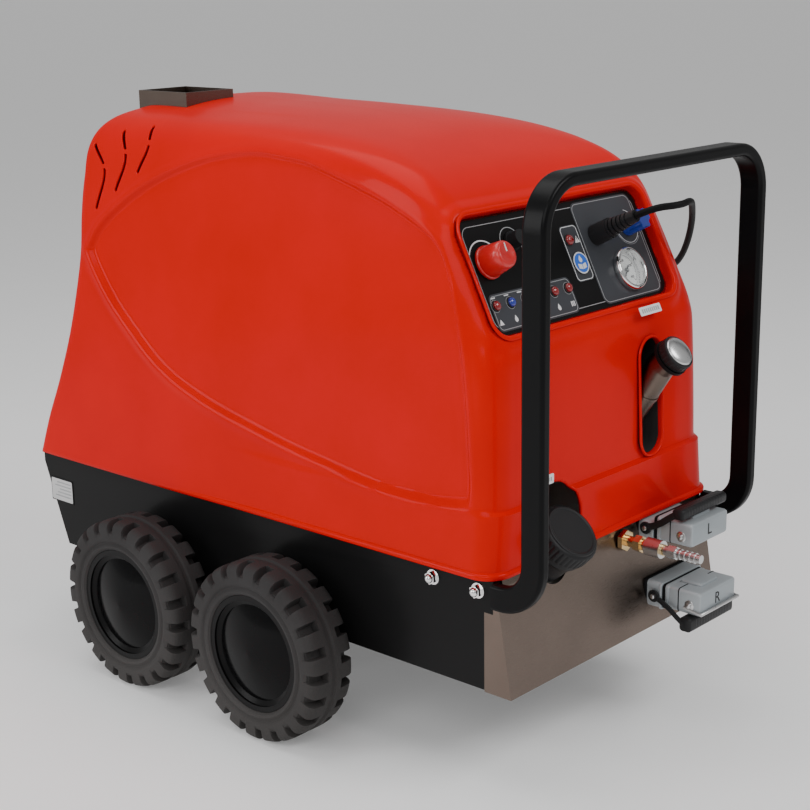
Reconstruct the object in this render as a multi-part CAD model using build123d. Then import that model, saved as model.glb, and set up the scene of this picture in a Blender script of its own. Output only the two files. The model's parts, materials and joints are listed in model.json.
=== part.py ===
from build123d import *
import math
import os

# ---- frame: +X right seen from the control end, +Y to the rear, +Z up, origin on the ground ----
Y_MID = 524.5          # local fore-aft zero (front panel foot) to the middle of the machine

# ---- wheels ----
TYRE_R = 150.0
TYRE_W = 90.0
WHEEL_X = 353.0        # middle of a tyre, from the centre line
AXLE_Y = (456.0, 786.0)
AXLE_Z = 150.0
AXLE_D = 25.0
AXLE_CLEAR = 0.06      # radial play of the rim bore on the axle
RIM_R = 98.0
CAP_R = 78.0

# ---- chassis ----
SIDE_X = 281.0         # outer face of the side plates
PLATE_T = 3.0
FLOOR_Z = 168.0        # top of the floor pan
DECK_Z = 343.5         # top edge of the side plates
REAR_FOOT_Y = 1082.0
REAR_TOP_Y = 1141.0

# ---- hood ----
WALL = 4.0
SKIRT_Z = 344.0        # underside of the hood flange
FRONT_Y = 36.0
REAR_Y = 1128.0
HINGE_Y = 1150.0
HINGE_Z = 352.0

LOUVRES = (((958, 923), (926, 880), (947, 816)), ((895, 948), (871, 905), (894, 851)),
           ((829, 958), (817, 925), (836, 886)))

# ---- handle ----
BAR_T = 20.0
BAR_D = 40.0
LEG_X = 284.0
BAR_Y = -33.0
BAR_TOP = 943.0
BAR_R = 78.0

# ---- control panel, tilted plane through the lower edge of the sloped front ----
SLOPE = (0.0, 0.445, 0.8955)
NORMAL = (0.0, -0.8955, 0.445)
PANEL = Plane(origin=(0, 51, 675), x_dir=(1, 0, 0), z_dir=NORMAL)
PANEL_W = 434.0
PANEL_H = 182.0
PANEL_U = -11.0
PANEL_V = 119.0
RECESS = -12.0         # face of the black panel behind the sloped skin
RED_KNOB = (-198.0, 140.0)
BLACK_KNOB = (-128.0, 164.0)
BLUE_KNOB = (164.0, 150.0)
GAUGE = (126.0, 80.0)
PLUG = (76.0, 146.0)
SHAFT_R = 4.0
SHAFT_CLEAR = 0.05

# ---- fillers ----
FUEL_CAP = (120.0, -10.6, 626.0)
SPOUT_DIR = (0.0, -0.766, 0.6428)
NECK_KNEE = (120.0, 26.2, 595.1)
NECK_DOWN = (0.0, 0.54, -0.8417)
WATER_CAP = (-140.0, 8.0, 390.0)
WATER_DIR = (0.0, -0.7071, 0.7071)

# ---- front connectors ----
CONN_X = 145.0
CONN_Z = (333.0, 220.0)
COUPLING_X = 38.0
COUPLING_Z = 322.0
CABLE_D = 11.0
GLAND = Vector(288, 246, 688)
GLAND_DIR = Vector(0.9889, -0.1483, 0.0).normalized()

os.makedirs("parts", exist_ok=True)
PARTS = {}


def put(name, shape):
    """Store one node, moved from the local zero to the shared frame."""
    PARTS[name] = Pos(0, -Y_MID, 0) * shape


def rod(p, d, r, length, offset=0.0):
    """Cylinder of radius r along direction d, starting at point p plus offset."""
    v = Vector(*d).normalized()
    start = Vector(*p) + v * offset
    return Plane(origin=start, z_dir=v) * Cylinder(r, length, align=(Align.CENTER, Align.CENTER, Align.MIN))


def ring(p, d, r_out, r_in, length, offset=0.0):
    return rod(p, d, r_out, length, offset) - rod(p, d, r_in, length + 2, offset - 1)


def block(x0, x1, y0, y1, z0, z1):
    return Pos((x0 + x1) / 2, (y0 + y1) / 2, (z0 + z1) / 2) * Box(x1 - x0, y1 - y0, z1 - z0)


def on_panel(u, v, w, shape):
    return PANEL * Pos(u, v, w) * shape


def plate(w, h, t, r):
    """Rounded plate lying on its local z = 0, thickness t upwards."""
    return extrude(RectangleRounded(w, h, r), t)


# ------------------------------------------------------------------ wheels
def wheel(tag, side, y):
    c = (side * WHEEL_X, y, AXLE_Z)
    out = (side, 0, 0)
    half = TYRE_W / 2
    section = Polyline(
        (-half + 8, RIM_R + 0.0), (-half, RIM_R + 14), (-half, TYRE_R - 16), (-half + 8, TYRE_R - 3),
        (-half + 16, TYRE_R), (half - 16, TYRE_R), (half - 8, TYRE_R - 3), (half, TYRE_R - 16),
        (half, RIM_R + 14), (half - 8, RIM_R + 0.0), close=True)
    tyre = revolve(make_face(Plane.XY * section), Axis.X, 360)
    groove = Pos(half - 13, TYRE_R - 9, 0) * Box(30, 30, 8)
    for k in range(22):
        cut = Rot(k * 360 / 22, 0, 0) * groove
        twin = Rot((k + 0.5) * 360 / 22, 0, 0) * mirror(groove, Plane.YZ)
        tyre -= cut
        tyre -= twin
    tyre -= Rot(0, 90, 0) * Cylinder(RIM_R, TYRE_W + 2)
    place = Pos(*c) * (Rot(0, 0, 0) if side > 0 else Rot(0, 0, 180))
    put("tyre_" + tag, place * tyre)

    bore = AXLE_D / 2 + AXLE_CLEAR
    prof = Polyline(
        (-36, bore), (-36, 24), (-6, 24), (-6, RIM_R - 12), (-half + 6, RIM_R - 8), (-half + 6, RIM_R),
        (half - 6, RIM_R), (half - 6, RIM_R - 9), (half - 10, RIM_R - 9), (half - 14, CAP_R + 3),
        (2, CAP_R - 2), (2, 24), (22, 24), (22, bore), close=True)
    rim = revolve(make_face(Plane.XY * prof), Axis.X, 360)
    put("rim_" + tag, place * rim)

    outline = Polyline((half + 2, 0), (24, 0), (24, 30), (3.0, CAP_R - 8), (3.0, CAP_R - 3), (half - 14, CAP_R + 3))
    outline += Spline((half - 14, CAP_R + 3), (half - 4, CAP_R * 0.55), (half + 2, 0))
    cap = revolve(make_face(outline), Axis.X, 360)
    put("hub_cap_" + tag, place * cap)


def axles():
    shafts = None
    for y in AXLE_Y:
        length = 2 * (WHEEL_X + 19)
        shaft = Pos(0, y, AXLE_Z) * Rot(0, 90, 0) * Cylinder(AXLE_D / 2, length)
        for s in (-1, 1):
            shaft += rod((s * (WHEEL_X - 36.3 - 8), y, AXLE_Z), (s, 0, 0), 20, 8)
            shaft += rod((s * (WHEEL_X + 22.3), y, AXLE_Z), (s, 0, 0), 12.0, 0.9)
            shaft += rod((s * (WHEEL_X + 19), y, AXLE_Z), (s, 0, 0), 12.0, 3.6)
            shaft += ring((s * (WHEEL_X + 22.2), y, AXLE_Z), (s, 0, 0), 17, 11.5, 1.2)
        shafts = shaft if shafts is None else shafts + shaft
    put("axles", shafts)
    blocks = None
    for y in AXLE_Y:
        for x in (-230, -90, 90, 230):
            b = block(x - 20, x + 20, y - 30, y + 30, AXLE_Z - 22, FLOOR_Z - PLATE_T)
            b -= Pos(x, y, AXLE_Z) * Rot(0, 90, 0) * Cylinder(AXLE_D / 2, 50)
            blocks = b if blocks is None else blocks + b
    return blocks


# ------------------------------------------------------------------ chassis
def side_plate(side):
    pts = [(63, FLOOR_Z - PLATE_T), (REAR_FOOT_Y, FLOOR_Z - PLATE_T), (REAR_TOP_Y, 319), (REAR_TOP_Y, DECK_Z),
           (46, DECK_Z), (46, 290), (63, 290)]
    face = make_face(Plane.YZ * Polyline(*pts, close=True))
    p = Pos(SIDE_X - PLATE_T, 0, 0) * extrude(face, PLATE_T, dir=(1, 0, 0))
    p += block(SIDE_X - 28, SIDE_X - PLATE_T, 72, REAR_TOP_Y - 30, DECK_Z - 3, DECK_Z)
    for y in (74, 162):
        p -= rod((SIDE_X - 10, y, 322), (1, 0, 0), 6.3, 20)
    return p if side > 0 else mirror(p, Plane.YZ)


def chassis(axle_clamps):
    put("side_plate_right", side_plate(1))
    put("side_plate_left", side_plate(-1) + block(-SIDE_X - 0.8, -SIDE_X, 1058, 1124, 246, 292))

    inner = SIDE_X - PLATE_T
    floor = block(-inner, inner, 66, REAR_FOOT_Y - 4, FLOOR_Z - PLATE_T, FLOOR_Z)
    for x in (-160, 160):
        floor -= Pos(x, 930, FLOOR_Z) * Cylinder(25, 10)
    floor += block(-inner, inner, 380, 388, FLOOR_Z, FLOOR_Z + 30)
    put("floor_pan", floor + axle_clamps)

    # sloping stainless nose plate with folded returns
    nose = [(12, 162), (40, 330), (44, 343), (70, 343), (70, 340), (46.5, 340), (43.2, 330), (15.3, 165),
            (64, 165), (64, 162)]
    front = extrude(make_face(Plane.YZ * Polyline(*nose, close=True)), inner, dir=(1, 0, 0), both=True)
    for s in (-1, 1):
        ret = make_face(Plane.YZ * Polyline((12, 162), (63, 162), (63, 290), (46, 290), (46, 337), (42, 337),
                                            (40, 330), close=True))
        front += Pos(s * (inner if s > 0 else inner + 0) + (0 if s > 0 else -PLATE_T), 0, 0) * extrude(
            ret, PLATE_T, dir=(1, 0, 0))
    wx, wy, wz = WATER_CAP
    front -= rod(WATER_CAP, WATER_DIR, 44, 160, -150)
    front -= block(wx - 44, wx + 44, 0, 90, 325, 345)
    for z in CONN_Z:
        front -= block(CONN_X - 40, CONN_X + 40, 0, 70, z - 12, z + 12)
    front -= rod((COUPLING_X, 90, COUPLING_Z), (0, -1, 0), 12.4, 100)
    for s in (-1, 1):
        front -= block(min(s * 264, s * 300), max(s * 264, s * 300), -10, 71, 300, 350)
    put("front_panel", front)

    tilt = math.atan2(REAR_TOP_Y - REAR_FOOT_Y, 319 - 165)
    rear = extrude(make_face(Plane.YZ * Polyline(
        (REAR_FOOT_Y - 4, 165), (REAR_FOOT_Y, 165), (REAR_TOP_Y, 319), (REAR_TOP_Y, DECK_Z),
        (REAR_TOP_Y - 28, DECK_Z), (REAR_TOP_Y - 28, DECK_Z - 3), (REAR_TOP_Y - 3, DECK_Z - 3),
        (REAR_TOP_Y - 3, 319.5), (REAR_FOOT_Y - 4, 172), close=True)), inner, dir=(1, 0, 0), both=True)
    for k in range(6):
        rear -= block(-150 + 50 * k, -120 + 50 * k, 1080, 1150, 250, 262)
    put("rear_plate", rear)



def handle():
    top = BAR_TOP - BAR_T / 2
    r = BAR_R
    outer = LEG_X + BAR_T / 2
    inner = LEG_X - BAR_T / 2
    low = 322 + 60
    face = RectangleRounded(2 * outer, 2 * (BAR_TOP - low), r)
    hole = RectangleRounded(2 * inner, 2 * (BAR_TOP - BAR_T - low), r - BAR_T)
    arch = Plane.XZ * Pos(0, low, 0) * (face - hole)
    bar = extrude(arch, BAR_D / 2, both=True)
    bar -= block(-400, 400, -60, 60, low - 700, low)
    bar = Pos(0, BAR_Y, 0) * bar
    bar = fillet(bar.edges().filter_by(Axis.Z), 6)
    for s in (-1, 1):
        sec = Plane(origin=(s * LEG_X, BAR_Y, low), z_dir=(0, 0, -1)) * RectangleRounded(BAR_T, BAR_D, 6)
        axis = Axis((s * LEG_X, BAR_Y + 60, low), (1, 0, 0))
        bend = revolve(sec, axis, 90)
        if bend.bounding_box().min.Z > low - 5:
            bend = revolve(sec, axis, -90)
        bar += bend
        tail = Plane(origin=(s * LEG_X, BAR_Y + 60, 322), x_dir=(1, 0, 0), z_dir=(0, 1, 0)) * extrude(
            RectangleRounded(BAR_T, BAR_D, 6), 14)
        bar += tail
        foot = block(s * 271.0 - 3.5, s * 271.0 + 3.5, 5, 200, 304, 336)
        for y in (74, 162):
            foot -= rod((s * 260, y, 322), (s, 0, 0), 6.2, 30)
        bar += foot
    put("handle_bar", bar)

    bolts = None
    for s in (-1, 1):
        for y in (74, 162):
            b = rod((s * 262.0, y, 322), (s, 0, 0), 5.9, 30)
            b += Pos(s * 263.8, y, 322) * Rot(0, 90, 0) * extrude(RegularPolygon(10, 6), 3.6, both=True)
            b += rod((s * 274.5, y, 322), (s, 0, 0), 11, 3.5)
            b += rod((s * SIDE_X, y, 322), (s, 0, 0), 12, 2)
            b += Pos(s * (SIDE_X + 6), y, 322) * Rot(0, 90, 0) * extrude(RegularPolygon(10, 6), 4, both=True)
            b += Pos(s * (SIDE_X + 10), y, 322) * Sphere(7.5)
            bolts = b if bolts is None else bolts + b
    put("handle_bolts", bolts)


# ------------------------------------------------------------------ hood
def inset(points, t):
    """Move a chain of points to its left-hand side by t, along the bisector at each point."""
    out = []
    last = len(points) - 1
    for k, p in enumerate(points):
        q0 = points[max(k - 1, 0)]
        q1 = points[min(k + 1, last)]
        dy = q1[0] - q0[0]
        dz = q1[1] - q0[1]
        n = math.hypot(dy, dz)
        out.append((p[0] + t * dz / n, p[1] - t * dy / n))
    return out


def smooth(points):
    """Straight runs joined by tangent arcs, each as large as its runs allow."""
    radii = []
    for k in range(1, len(points) - 1):
        p = Vector(*points[k]) - Vector(*points[k - 1])
        q = Vector(*points[k + 1]) - Vector(*points[k])
        half = math.radians(p.get_angle(q)) / 2
        radii.append(0.45 * min(p.length, q.length) / math.tan(half))
    return FilletPolyline(*points, radius=radii)


def side_profile(t):
    """Outline of the hood seen from the side, in (y, z), pulled in by t."""
    foot = [(FRONT_Y, SKIRT_Z), (FRONT_Y, 466), (44, 640), (51, 675), (128, 830)]
    roof = [(150, 869), (185, 901), (239, 929), (336, 960), (448, 982), (563, 995), (700, 1003), (820, 1003),
            (905, 996), (950, 978), (977, 940), (988, 880), (996, 800), (1002, 718), (1030, 600), (1066, 500),
            (1103, 415), (REAR_Y, SKIRT_Z)]
    chain = inset(foot + roof, t)
    return make_face(Plane.YZ * (smooth(chain) + Line(chain[-1], chain[0])))


def end_profile(t):
    """Outline of the hood seen from the front, in (x, z), pulled in by t."""
    pts = [(300, SKIRT_Z), (290, 500), (278, 700), (266, 860), (252, 930), (215, 968), (150, 988)]
    whole = [(-x, z) for x, z in pts] + [(0, 1005)] + pts[::-1]
    chain = inset(whole, t)
    return make_face(Plane.XZ * (smooth(chain) + Line(chain[-1], chain[0])))


def hood_solid(t):
    """The full moulding volume, pulled in by t on every side but the bottom."""
    side = side_profile(t)
    end = end_profile(t)
    a = extrude(side, 310, dir=(1, 0, 0), both=True)
    b = Pos(0, 580, 0) * extrude(end, 700, dir=(0, 1, 0), both=True)
    low = Plane.XY.offset(SKIRT_Z - 10) * Pos(0, (FRONT_Y + REAR_Y) / 2) * RectangleRounded(
        2 * (287.3 - t), REAR_Y - FRONT_Y + 8 - 2 * t, 46 - t)
    high = Plane.XY.offset(1010) * Pos(0, (FRONT_Y + REAR_Y) / 2) * RectangleRounded(
        2 * (265.1 - t), REAR_Y - FRONT_Y + 8 - 2 * t, 46 - t)
    c = loft([low, high], ruled=True)
    return (a & c) & b


def skirt(t):
    """Flared foot of the moulding, up to the lower crease."""
    low = Plane.XY.offset(SKIRT_Z - (5 if t else 0)) * Pos(0, (FRONT_Y + REAR_Y) / 2) * RectangleRounded(
        2 * (296 - t), REAR_Y - FRONT_Y - 2 * t, 40)
    mid = Plane.XY.offset(440) * Pos(0, (FRONT_Y + REAR_Y - 36) / 2) * RectangleRounded(
        2 * (284.5 - t), REAR_Y - FRONT_Y - 36 - 2 * t, 44)
    return loft([low, mid], ruled=True)


def louvre(top, mid, low):
    """Curved vent slot cut through both shoulders, broken by one bridge."""
    half = 3.4
    a = [(top[0] - half, top[1]), (mid[0] - half, mid[1]), (low[0] - half, low[1])]
    b = [(low[0] + half, low[1]), (mid[0] + half, mid[1]), (top[0] + half, top[1])]
    edge = ThreePointArc(*a) + Line(a[2], b[0]) + ThreePointArc(*b) + Line(b[2], a[0])
    cut = extrude(make_face(Plane.YZ * edge), 330, dir=(1, 0, 0), both=True)
    cut -= block(-150, 150, 700, 1100, 700, 1100)
    bridge = top[1] - (top[1] - low[1]) * 0.32
    return cut - block(-340, 340, 700, 1100, bridge - 3.5, bridge + 3.5)


def hood():
    outer = hood_solid(0) + skirt(0)
    inner = hood_solid(WALL) + skirt(WALL)
    flange = Plane.XY.offset(SKIRT_Z) * Pos(0, (FRONT_Y + REAR_Y) / 2) * RectangleRounded(
        2 * 300, REAR_Y - FRONT_Y + 10, 42)
    shell = outer + extrude(flange, 6)
    shell -= inner

    # control panel window with an inward lip
    lip = on_panel(PANEL_U, PANEL_V, RECESS, plate(PANEL_W + 8, PANEL_H + 8, -RECESS - 1, 29))
    win = on_panel(PANEL_U, PANEL_V, RECESS - 20, plate(PANEL_W, PANEL_H, 60, 25))
    shell += lip
    shell -= win

    # filler slot, water neck arch, roof outlet, cable gland
    slot = Plane.XZ * Pos(120, 542) * RectangleRounded(58, 190, 28)
    shell -= Pos(0, 40, 0) * extrude(slot, 30, both=True)
    wx = WATER_CAP[0]
    arch = Plane.XZ * (Pos(wx, 352) * Rectangle(126, 90) + Pos(wx, 397) * Circle(63))
    shell -= Pos(0, 40, 0) * extrude(arch, 40, both=True)
    shell -= block(-152.3, -42.7, 829.7, 958.3, 940, 1030)
    shell -= rod(tuple(GLAND), tuple(GLAND_DIR), 8.0, 60, -40)
    for top, mid, low in LOUVRES:
        shell -= louvre(top, mid, low)
    pocket = block(84, 156, 48.2, 52.2, 440, 662) - rod(NECK_KNEE, NECK_DOWN, 25.6, 200)
    shell += pocket - Pos(*NECK_KNEE) * Sphere(25.6)
    put("hood_shell", shell)

    frame = block(-152, -43, 830, 958, 960, 1011) - block(-149, -46, 833, 955, 950, 1020)
    for k in range(5):
        frame += block(-149.5, -45.5, 852 + 21 * k, 854 + 21 * k, 984, 1000)
    put("chimney_frame", frame)


# ------------------------------------------------------------------ control panel
def panel():
    sheet = on_panel(PANEL_U, PANEL_V, RECESS - 3, plate(PANEL_W + 8, PANEL_H + 8, 3, 29))
    for (u, v), r in ((RED_KNOB, 6), (BLACK_KNOB, 5), (BLUE_KNOB, 5), (GAUGE, 31.5), (PLUG, 11)):
        sheet -= on_panel(u, v, RECESS - 10, Cylinder(r, 40))
    put("panel_plate", sheet)

    strip = on_panel(-126, 64, RECESS, plate(196, 58, 0.6, 10))
    right = on_panel(118, 119, RECESS, plate(160, 170, 0.6, 14))
    right -= on_panel(GAUGE[0], GAUGE[1], RECESS - 5, Cylinder(34.2, 20))
    right -= on_panel(BLUE_KNOB[0], BLUE_KNOB[1], RECESS - 5, Cylinder(9, 20))
    right -= on_panel(PLUG[0], PLUG[1], RECESS - 5, Cylinder(17.2, 20))
    mid = on_panel(14, 125, RECESS, plate(44, 92, 0.6, 8))
    disc = on_panel(14, 108, RECESS + 0.6, extrude(Circle(18), 2.0))
    put("panel_overlays", strip + right + mid + disc)

    lamps = None
    for k in range(6):
        u = -214 + 35 * k
        b = on_panel(u, 75, RECESS + 0.6, Cylinder(7, 3, align=(Align.CENTER, Align.CENTER, Align.MIN)))
        b += on_panel(u, 75, RECESS + 3.6, Cylinder(5.5, 3, align=(Align.CENTER, Align.CENTER, Align.MIN)))
        lamps = b if lamps is None else lamps + b
    alarm = on_panel(5, 147, RECESS + 0.6, Cylinder(8, 3, align=(Align.CENTER, Align.CENTER, Align.MIN)))
    alarm += on_panel(5, 147, RECESS + 3.6, Cylinder(6.5, 4, align=(Align.CENTER, Align.CENTER, Align.MIN)))
    put("panel_lamps", lamps + alarm)


def rotary(name, uv, r, h, base_r, lobes=0):
    """Knob on a D-less round shaft, with its switch body behind the panel."""
    u, v = uv
    body = on_panel(u, v, RECESS - 3 - 34, extrude(RectangleRounded(30, 30, 3), 34))
    body += on_panel(u, v, RECESS - 3, Cylinder(4.4, 4, align=(Align.CENTER, Align.CENTER, Align.MIN)))
    body += on_panel(u, v, RECESS, Cylinder(SHAFT_R, 20, align=(Align.CENTER, Align.CENTER, Align.MIN)))
    knob = on_panel(u, v, RECESS + 1.5, extrude(Circle(base_r), 4))
    knob += on_panel(u, v, RECESS + 5.5, extrude(Circle(r), h - 5.5, taper=3))
    if lobes:
        for k in range(lobes):
            a = math.radians(360 * k / lobes)
            knob += on_panel(u + r * 0.9 * math.cos(a), v + r * 0.9 * math.sin(a), RECESS + 5.5,
                             extrude(Circle(r * 0.28), h - 5.5))
    knob -= on_panel(u, v, RECESS + 1, Cylinder(SHAFT_R + SHAFT_CLEAR, 19.6,
                                                align=(Align.CENTER, Align.CENTER, Align.MIN)))
    knob -= on_panel(u, v, RECESS + 1, Cylinder(6, 3.4, align=(Align.CENTER, Align.CENTER, Align.MIN)))
    put("knob_" + name, knob)
    return body


def gauge():
    u, v = GAUGE
    case = on_panel(u, v, RECESS - 25, Cylinder(31, 25, align=(Align.CENTER, Align.CENTER, Align.MIN)))
    case += on_panel(u, v, RECESS, Cylinder(34, 12, align=(Align.CENTER, Align.CENTER, Align.MIN)))
    case -= on_panel(u, v, RECESS - 6, Cylinder(30, 30, align=(Align.CENTER, Align.CENTER, Align.MIN)))
    case += on_panel(u, v, RECESS - 50, Cylinder(7, 26, align=(Align.CENTER, Align.CENTER, Align.MIN)))
    dial = on_panel(u, v, RECESS - 6, Cylinder(30, 1.2, align=(Align.CENTER, Align.CENTER, Align.MIN)))
    dial += on_panel(u, v, RECESS - 5, Cylinder(1.5, 7.5, align=(Align.CENTER, Align.CENTER, Align.MIN)))
    put("gauge_case", case + dial)
    needle = on_panel(u, v, RECESS - 2, Cylinder(4, 2, align=(Align.CENTER, Align.CENTER, Align.MIN)))
    needle += on_panel(u, v, RECESS - 1.6, extrude(Plane.XY * make_face(Polyline(
        (-17.5, -16.0), (-16.0, -17.5), (7.5, 5.5), (5.5, 7.5), close=True)), 1.0))
    needle -= on_panel(u, v, RECESS - 3, Cylinder(1.55, 6, align=(Align.CENTER, Align.CENTER, Align.MIN)))
    put("gauge_needle", needle)
    glass = on_panel(u, v, RECESS + 6, Cylinder(29.9, 2.0, align=(Align.CENTER, Align.CENTER, Align.MIN)))
    put("gauge_glass", glass)


def cable_points():
    """Control lead: out of the plug, round the right corner of the hood and into its side."""
    u, v = PLUG
    foot = Vector(u, 51, 675) + Vector(*SLOPE) * v
    n = Vector(*NORMAL)
    return [foot + n * 62, foot + n * 106, Vector(108, -10, 878), Vector(152, -4, 880), Vector(200, 18, 862),
            Vector(244, 44, 830), Vector(278, 70, 792), Vector(304, 100, 754), Vector(328, 134, 724),
            Vector(344, 172, 704), Vector(344, 208, 693), GLAND + GLAND_DIR * 40, GLAND]


def tube(points, d):
    """Round tube along straight runs joined by tangent arcs; prints the radii for the report."""
    radii = []
    for k in range(1, len(points) - 1):
        p = points[k] - points[k - 1]
        q = points[k + 1] - points[k]
        half = math.radians(p.get_angle(q)) / 2
        radii.append(0.45 * min(p.length, q.length) / math.tan(half))
    print("radii", [round(r) for r in radii])
    path = FilletPolyline(*points, radius=radii)
    shape = sweep(Plane(origin=path @ 0, z_dir=path % 0) * Circle(d / 2), path=path)
    print("volume", round(shape.volume), "expected", round(path.length * math.pi * d * d / 4), "length",
          round(path.length))
    return shape


def lead():
    u, v = PLUG
    up = (Align.CENTER, Align.CENTER, Align.MIN)
    body = on_panel(u, v, RECESS - 12, Cylinder(10.8, 12, align=up))
    body += on_panel(u, v, RECESS, Cylinder(17, 34, align=up))
    boot = on_panel(u, v, RECESS + 34, Cone(15, 9.5, 52, align=up))
    for k in range(5):
        boot -= on_panel(u, v, RECESS + 38 + 8 * k, Cylinder(20, 2.6, align=up) - Cylinder(11.5 - 0.5 * k, 2.6,
                                                                                          align=up))
    boot -= on_panel(u, v, RECESS + 68, Cylinder(CABLE_D / 2 + 0.5, 40, align=up))
    put("control_plug", body + boot)
    put("control_cable", tube(cable_points(), CABLE_D))
    g = tuple(GLAND)
    d = tuple(GLAND_DIR)
    gland = rod(g, d, 7.9, 20, -24) + rod(g, d, 13, 12, -6) + rod(g, d, 11, 4, -24)
    gland -= rod(g, d, CABLE_D / 2 + 0.5, 30, -2)
    put("cable_gland", gland)


# ------------------------------------------------------------------ fillers
def fillers():
    k = NECK_KNEE
    neck = rod(k, SPOUT_DIR, 24, 40) + rod(k, NECK_DOWN, 24, 150) + Pos(*k) * Sphere(24)
    neck -= rod(k, SPOUT_DIR, 22.5, 60)
    neck -= rod(k, NECK_DOWN, 22.5, 170)
    neck -= Pos(*k) * Sphere(22.5)
    neck += ring(k, NECK_DOWN, 25.2, 23, 6, 52)
    put("fuel_neck", neck)
    put("fuel_ring", ring(k, SPOUT_DIR, 31, 24, 6, 20))
    cap = rod(k, SPOUT_DIR, 29, 17, 27)
    cap += Plane(origin=Vector(*k) + Vector(*SPOUT_DIR) * 44, z_dir=Vector(*SPOUT_DIR)) * Cone(
        29, 18, 6, align=(Align.CENTER, Align.CENTER, Align.MIN))
    cap -= rod(k, SPOUT_DIR, 24.06, 15, 26)
    put("fuel_cap", cap)

    tank = block(40, 245, 76, 300, 172, 424)
    tank = fillet(tank.edges(), 12)
    tank -= block(46, 239, 82, 294, 178, 418)
    tank += ring((120, 117, 418), (0, 0, 1), 40, 36, 42)
    tank -= rod((120, 117, 418), (0, 0, 1), 36, 60, -10)
    put("fuel_tank", tank)

    w = WATER_CAP
    cap = rod(w, WATER_DIR, 50, 28, -28) + rod(w, WATER_DIR, 44, 3)
    for k in range(12):
        a = math.radians(30 * k)
        side = Vector(1, 0, 0) * math.cos(a) + Vector(0, 0.7071, 0.7071) * math.sin(a)
        p = Vector(*w) + side * 50
        cap -= rod((p.X, p.Y, p.Z), WATER_DIR, 3.0, 24, -28)
    cap -= rod(w, WATER_DIR, 38.06, 24, -28.5)
    put("water_cap", cap)
    tank = block(-245, -30, 60, 300, 172, 326)
    tank = fillet(tank.edges(), 12)
    tank += rod(w, WATER_DIR, 38, 90, -96)
    tank -= block(-239, -36, 66, 294, 178, 320)
    tank -= rod(w, WATER_DIR, 34, 100, -100)
    tank += ring(w, WATER_DIR, 46, 37, 5, -36)
    put("water_tank", tank)


# ------------------------------------------------------------------ front connectors
def connector(tag, z, lever_up):
    sgn = 1 if lever_up else -1
    face = 12 + (z - 162) * 28 / 168
    x = CONN_X
    base = block(x - 60, x + 60, face - 30, 30.4, z - 23, z + 23)
    base += block(x - 60, x + 60, face - 30, face + 6, z - 23, min(z + 23, 342.5))
    back = Plane.YZ * make_face(Polyline((12, 162), (40, 330), (45.5, 363), (80, 363), (80, 162), close=True))
    base -= Pos(0, 0, 0) * extrude(back, 300, dir=(1, 0, 0), both=True)
    base += block(x - 38, x + 38, face - 10, face + 30, z - 11, z + 11)
    for s in (-1, 1):
        base += rod((x + s * 58, face - 18, z), (s, 0, 0), 4.0, 8)
    base += block(x - 57, x + 57, face - 34, face - 30, z - 21, z + 21)
    plug = block(x - 54, x + 54, face - 100, face - 34.3, z - 20, z + 20)
    plug = fillet(plug.edges().filter_by(Axis.Y), 5)
    plug = fillet(plug.faces().sort_by(Axis.Y)[0].edges(), 4)
    plug -= block(x - 46, x + 46, face - 60, face - 30, z - 15, z + 15)
    plug += block(x - 44, x + 44, face - 70, face - 34.3, z - 8, z + 8)
    put("connector_plug_" + tag, plug)
    arm = None
    py = face - 18
    for s in (-1, 1):
        a = ring((x + s * 61, py, z), (s, 0, 0), 10, 4.05, 4)
        dx = x + s * 63
        bar = Plane.YZ * make_face(Polyline((py - 4, z + sgn * 9), (py - 9, z + sgn * 2), (py - 68, z + sgn * 24),
                                            (py - 68, z + sgn * 40), (py - 56, z + sgn * 40), close=True))
        a += Pos(dx - 2, 0, 0) * extrude(bar, 4, dir=(1, 0, 0))
        arm = a if arm is None else arm + a
    grip = block(x - 65, x + 65, py - 72, py - 50, z + sgn * 40 - 9, z + sgn * 40 + 9)
    grip = fillet(grip.edges().filter_by(Axis.X), 5)
    arm += grip
    put("connector_lever_" + tag, arm)
    return base


def coupling():
    p = (COUPLING_X, 40, COUPLING_Z)
    d = (0, -1, 0)
    body = rod(p, d, 9, 84) + rod(p, d, 11.4, 25, -24)
    body += Plane(origin=Vector(*p), z_dir=Vector(*d)) * Pos(0, 0, 4.6) * extrude(RegularPolygon(18, 6), 8)
    body += Plane(origin=Vector(*p), z_dir=Vector(*d)) * Pos(0, 0, 30) * extrude(RegularPolygon(14, 6), 12)
    put("coupling_body", body)
    put("coupling_sleeve", ring(p, d, 14.5, 9.06, 28, 51))
    tail = rod(p, d, 8, 8, 84.3)
    tail += Plane(origin=Vector(*p), z_dir=Vector(*d)) * Pos(0, 0, 92) * extrude(RegularPolygon(11, 6), 14)
    tail += rod(p, d, 7, 44, 106)
    for k in range(4):
        tail += ring(p, d, 8.5, 6, 4, 110 + 9 * k)
    put("coupling_plug", tail)


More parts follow.
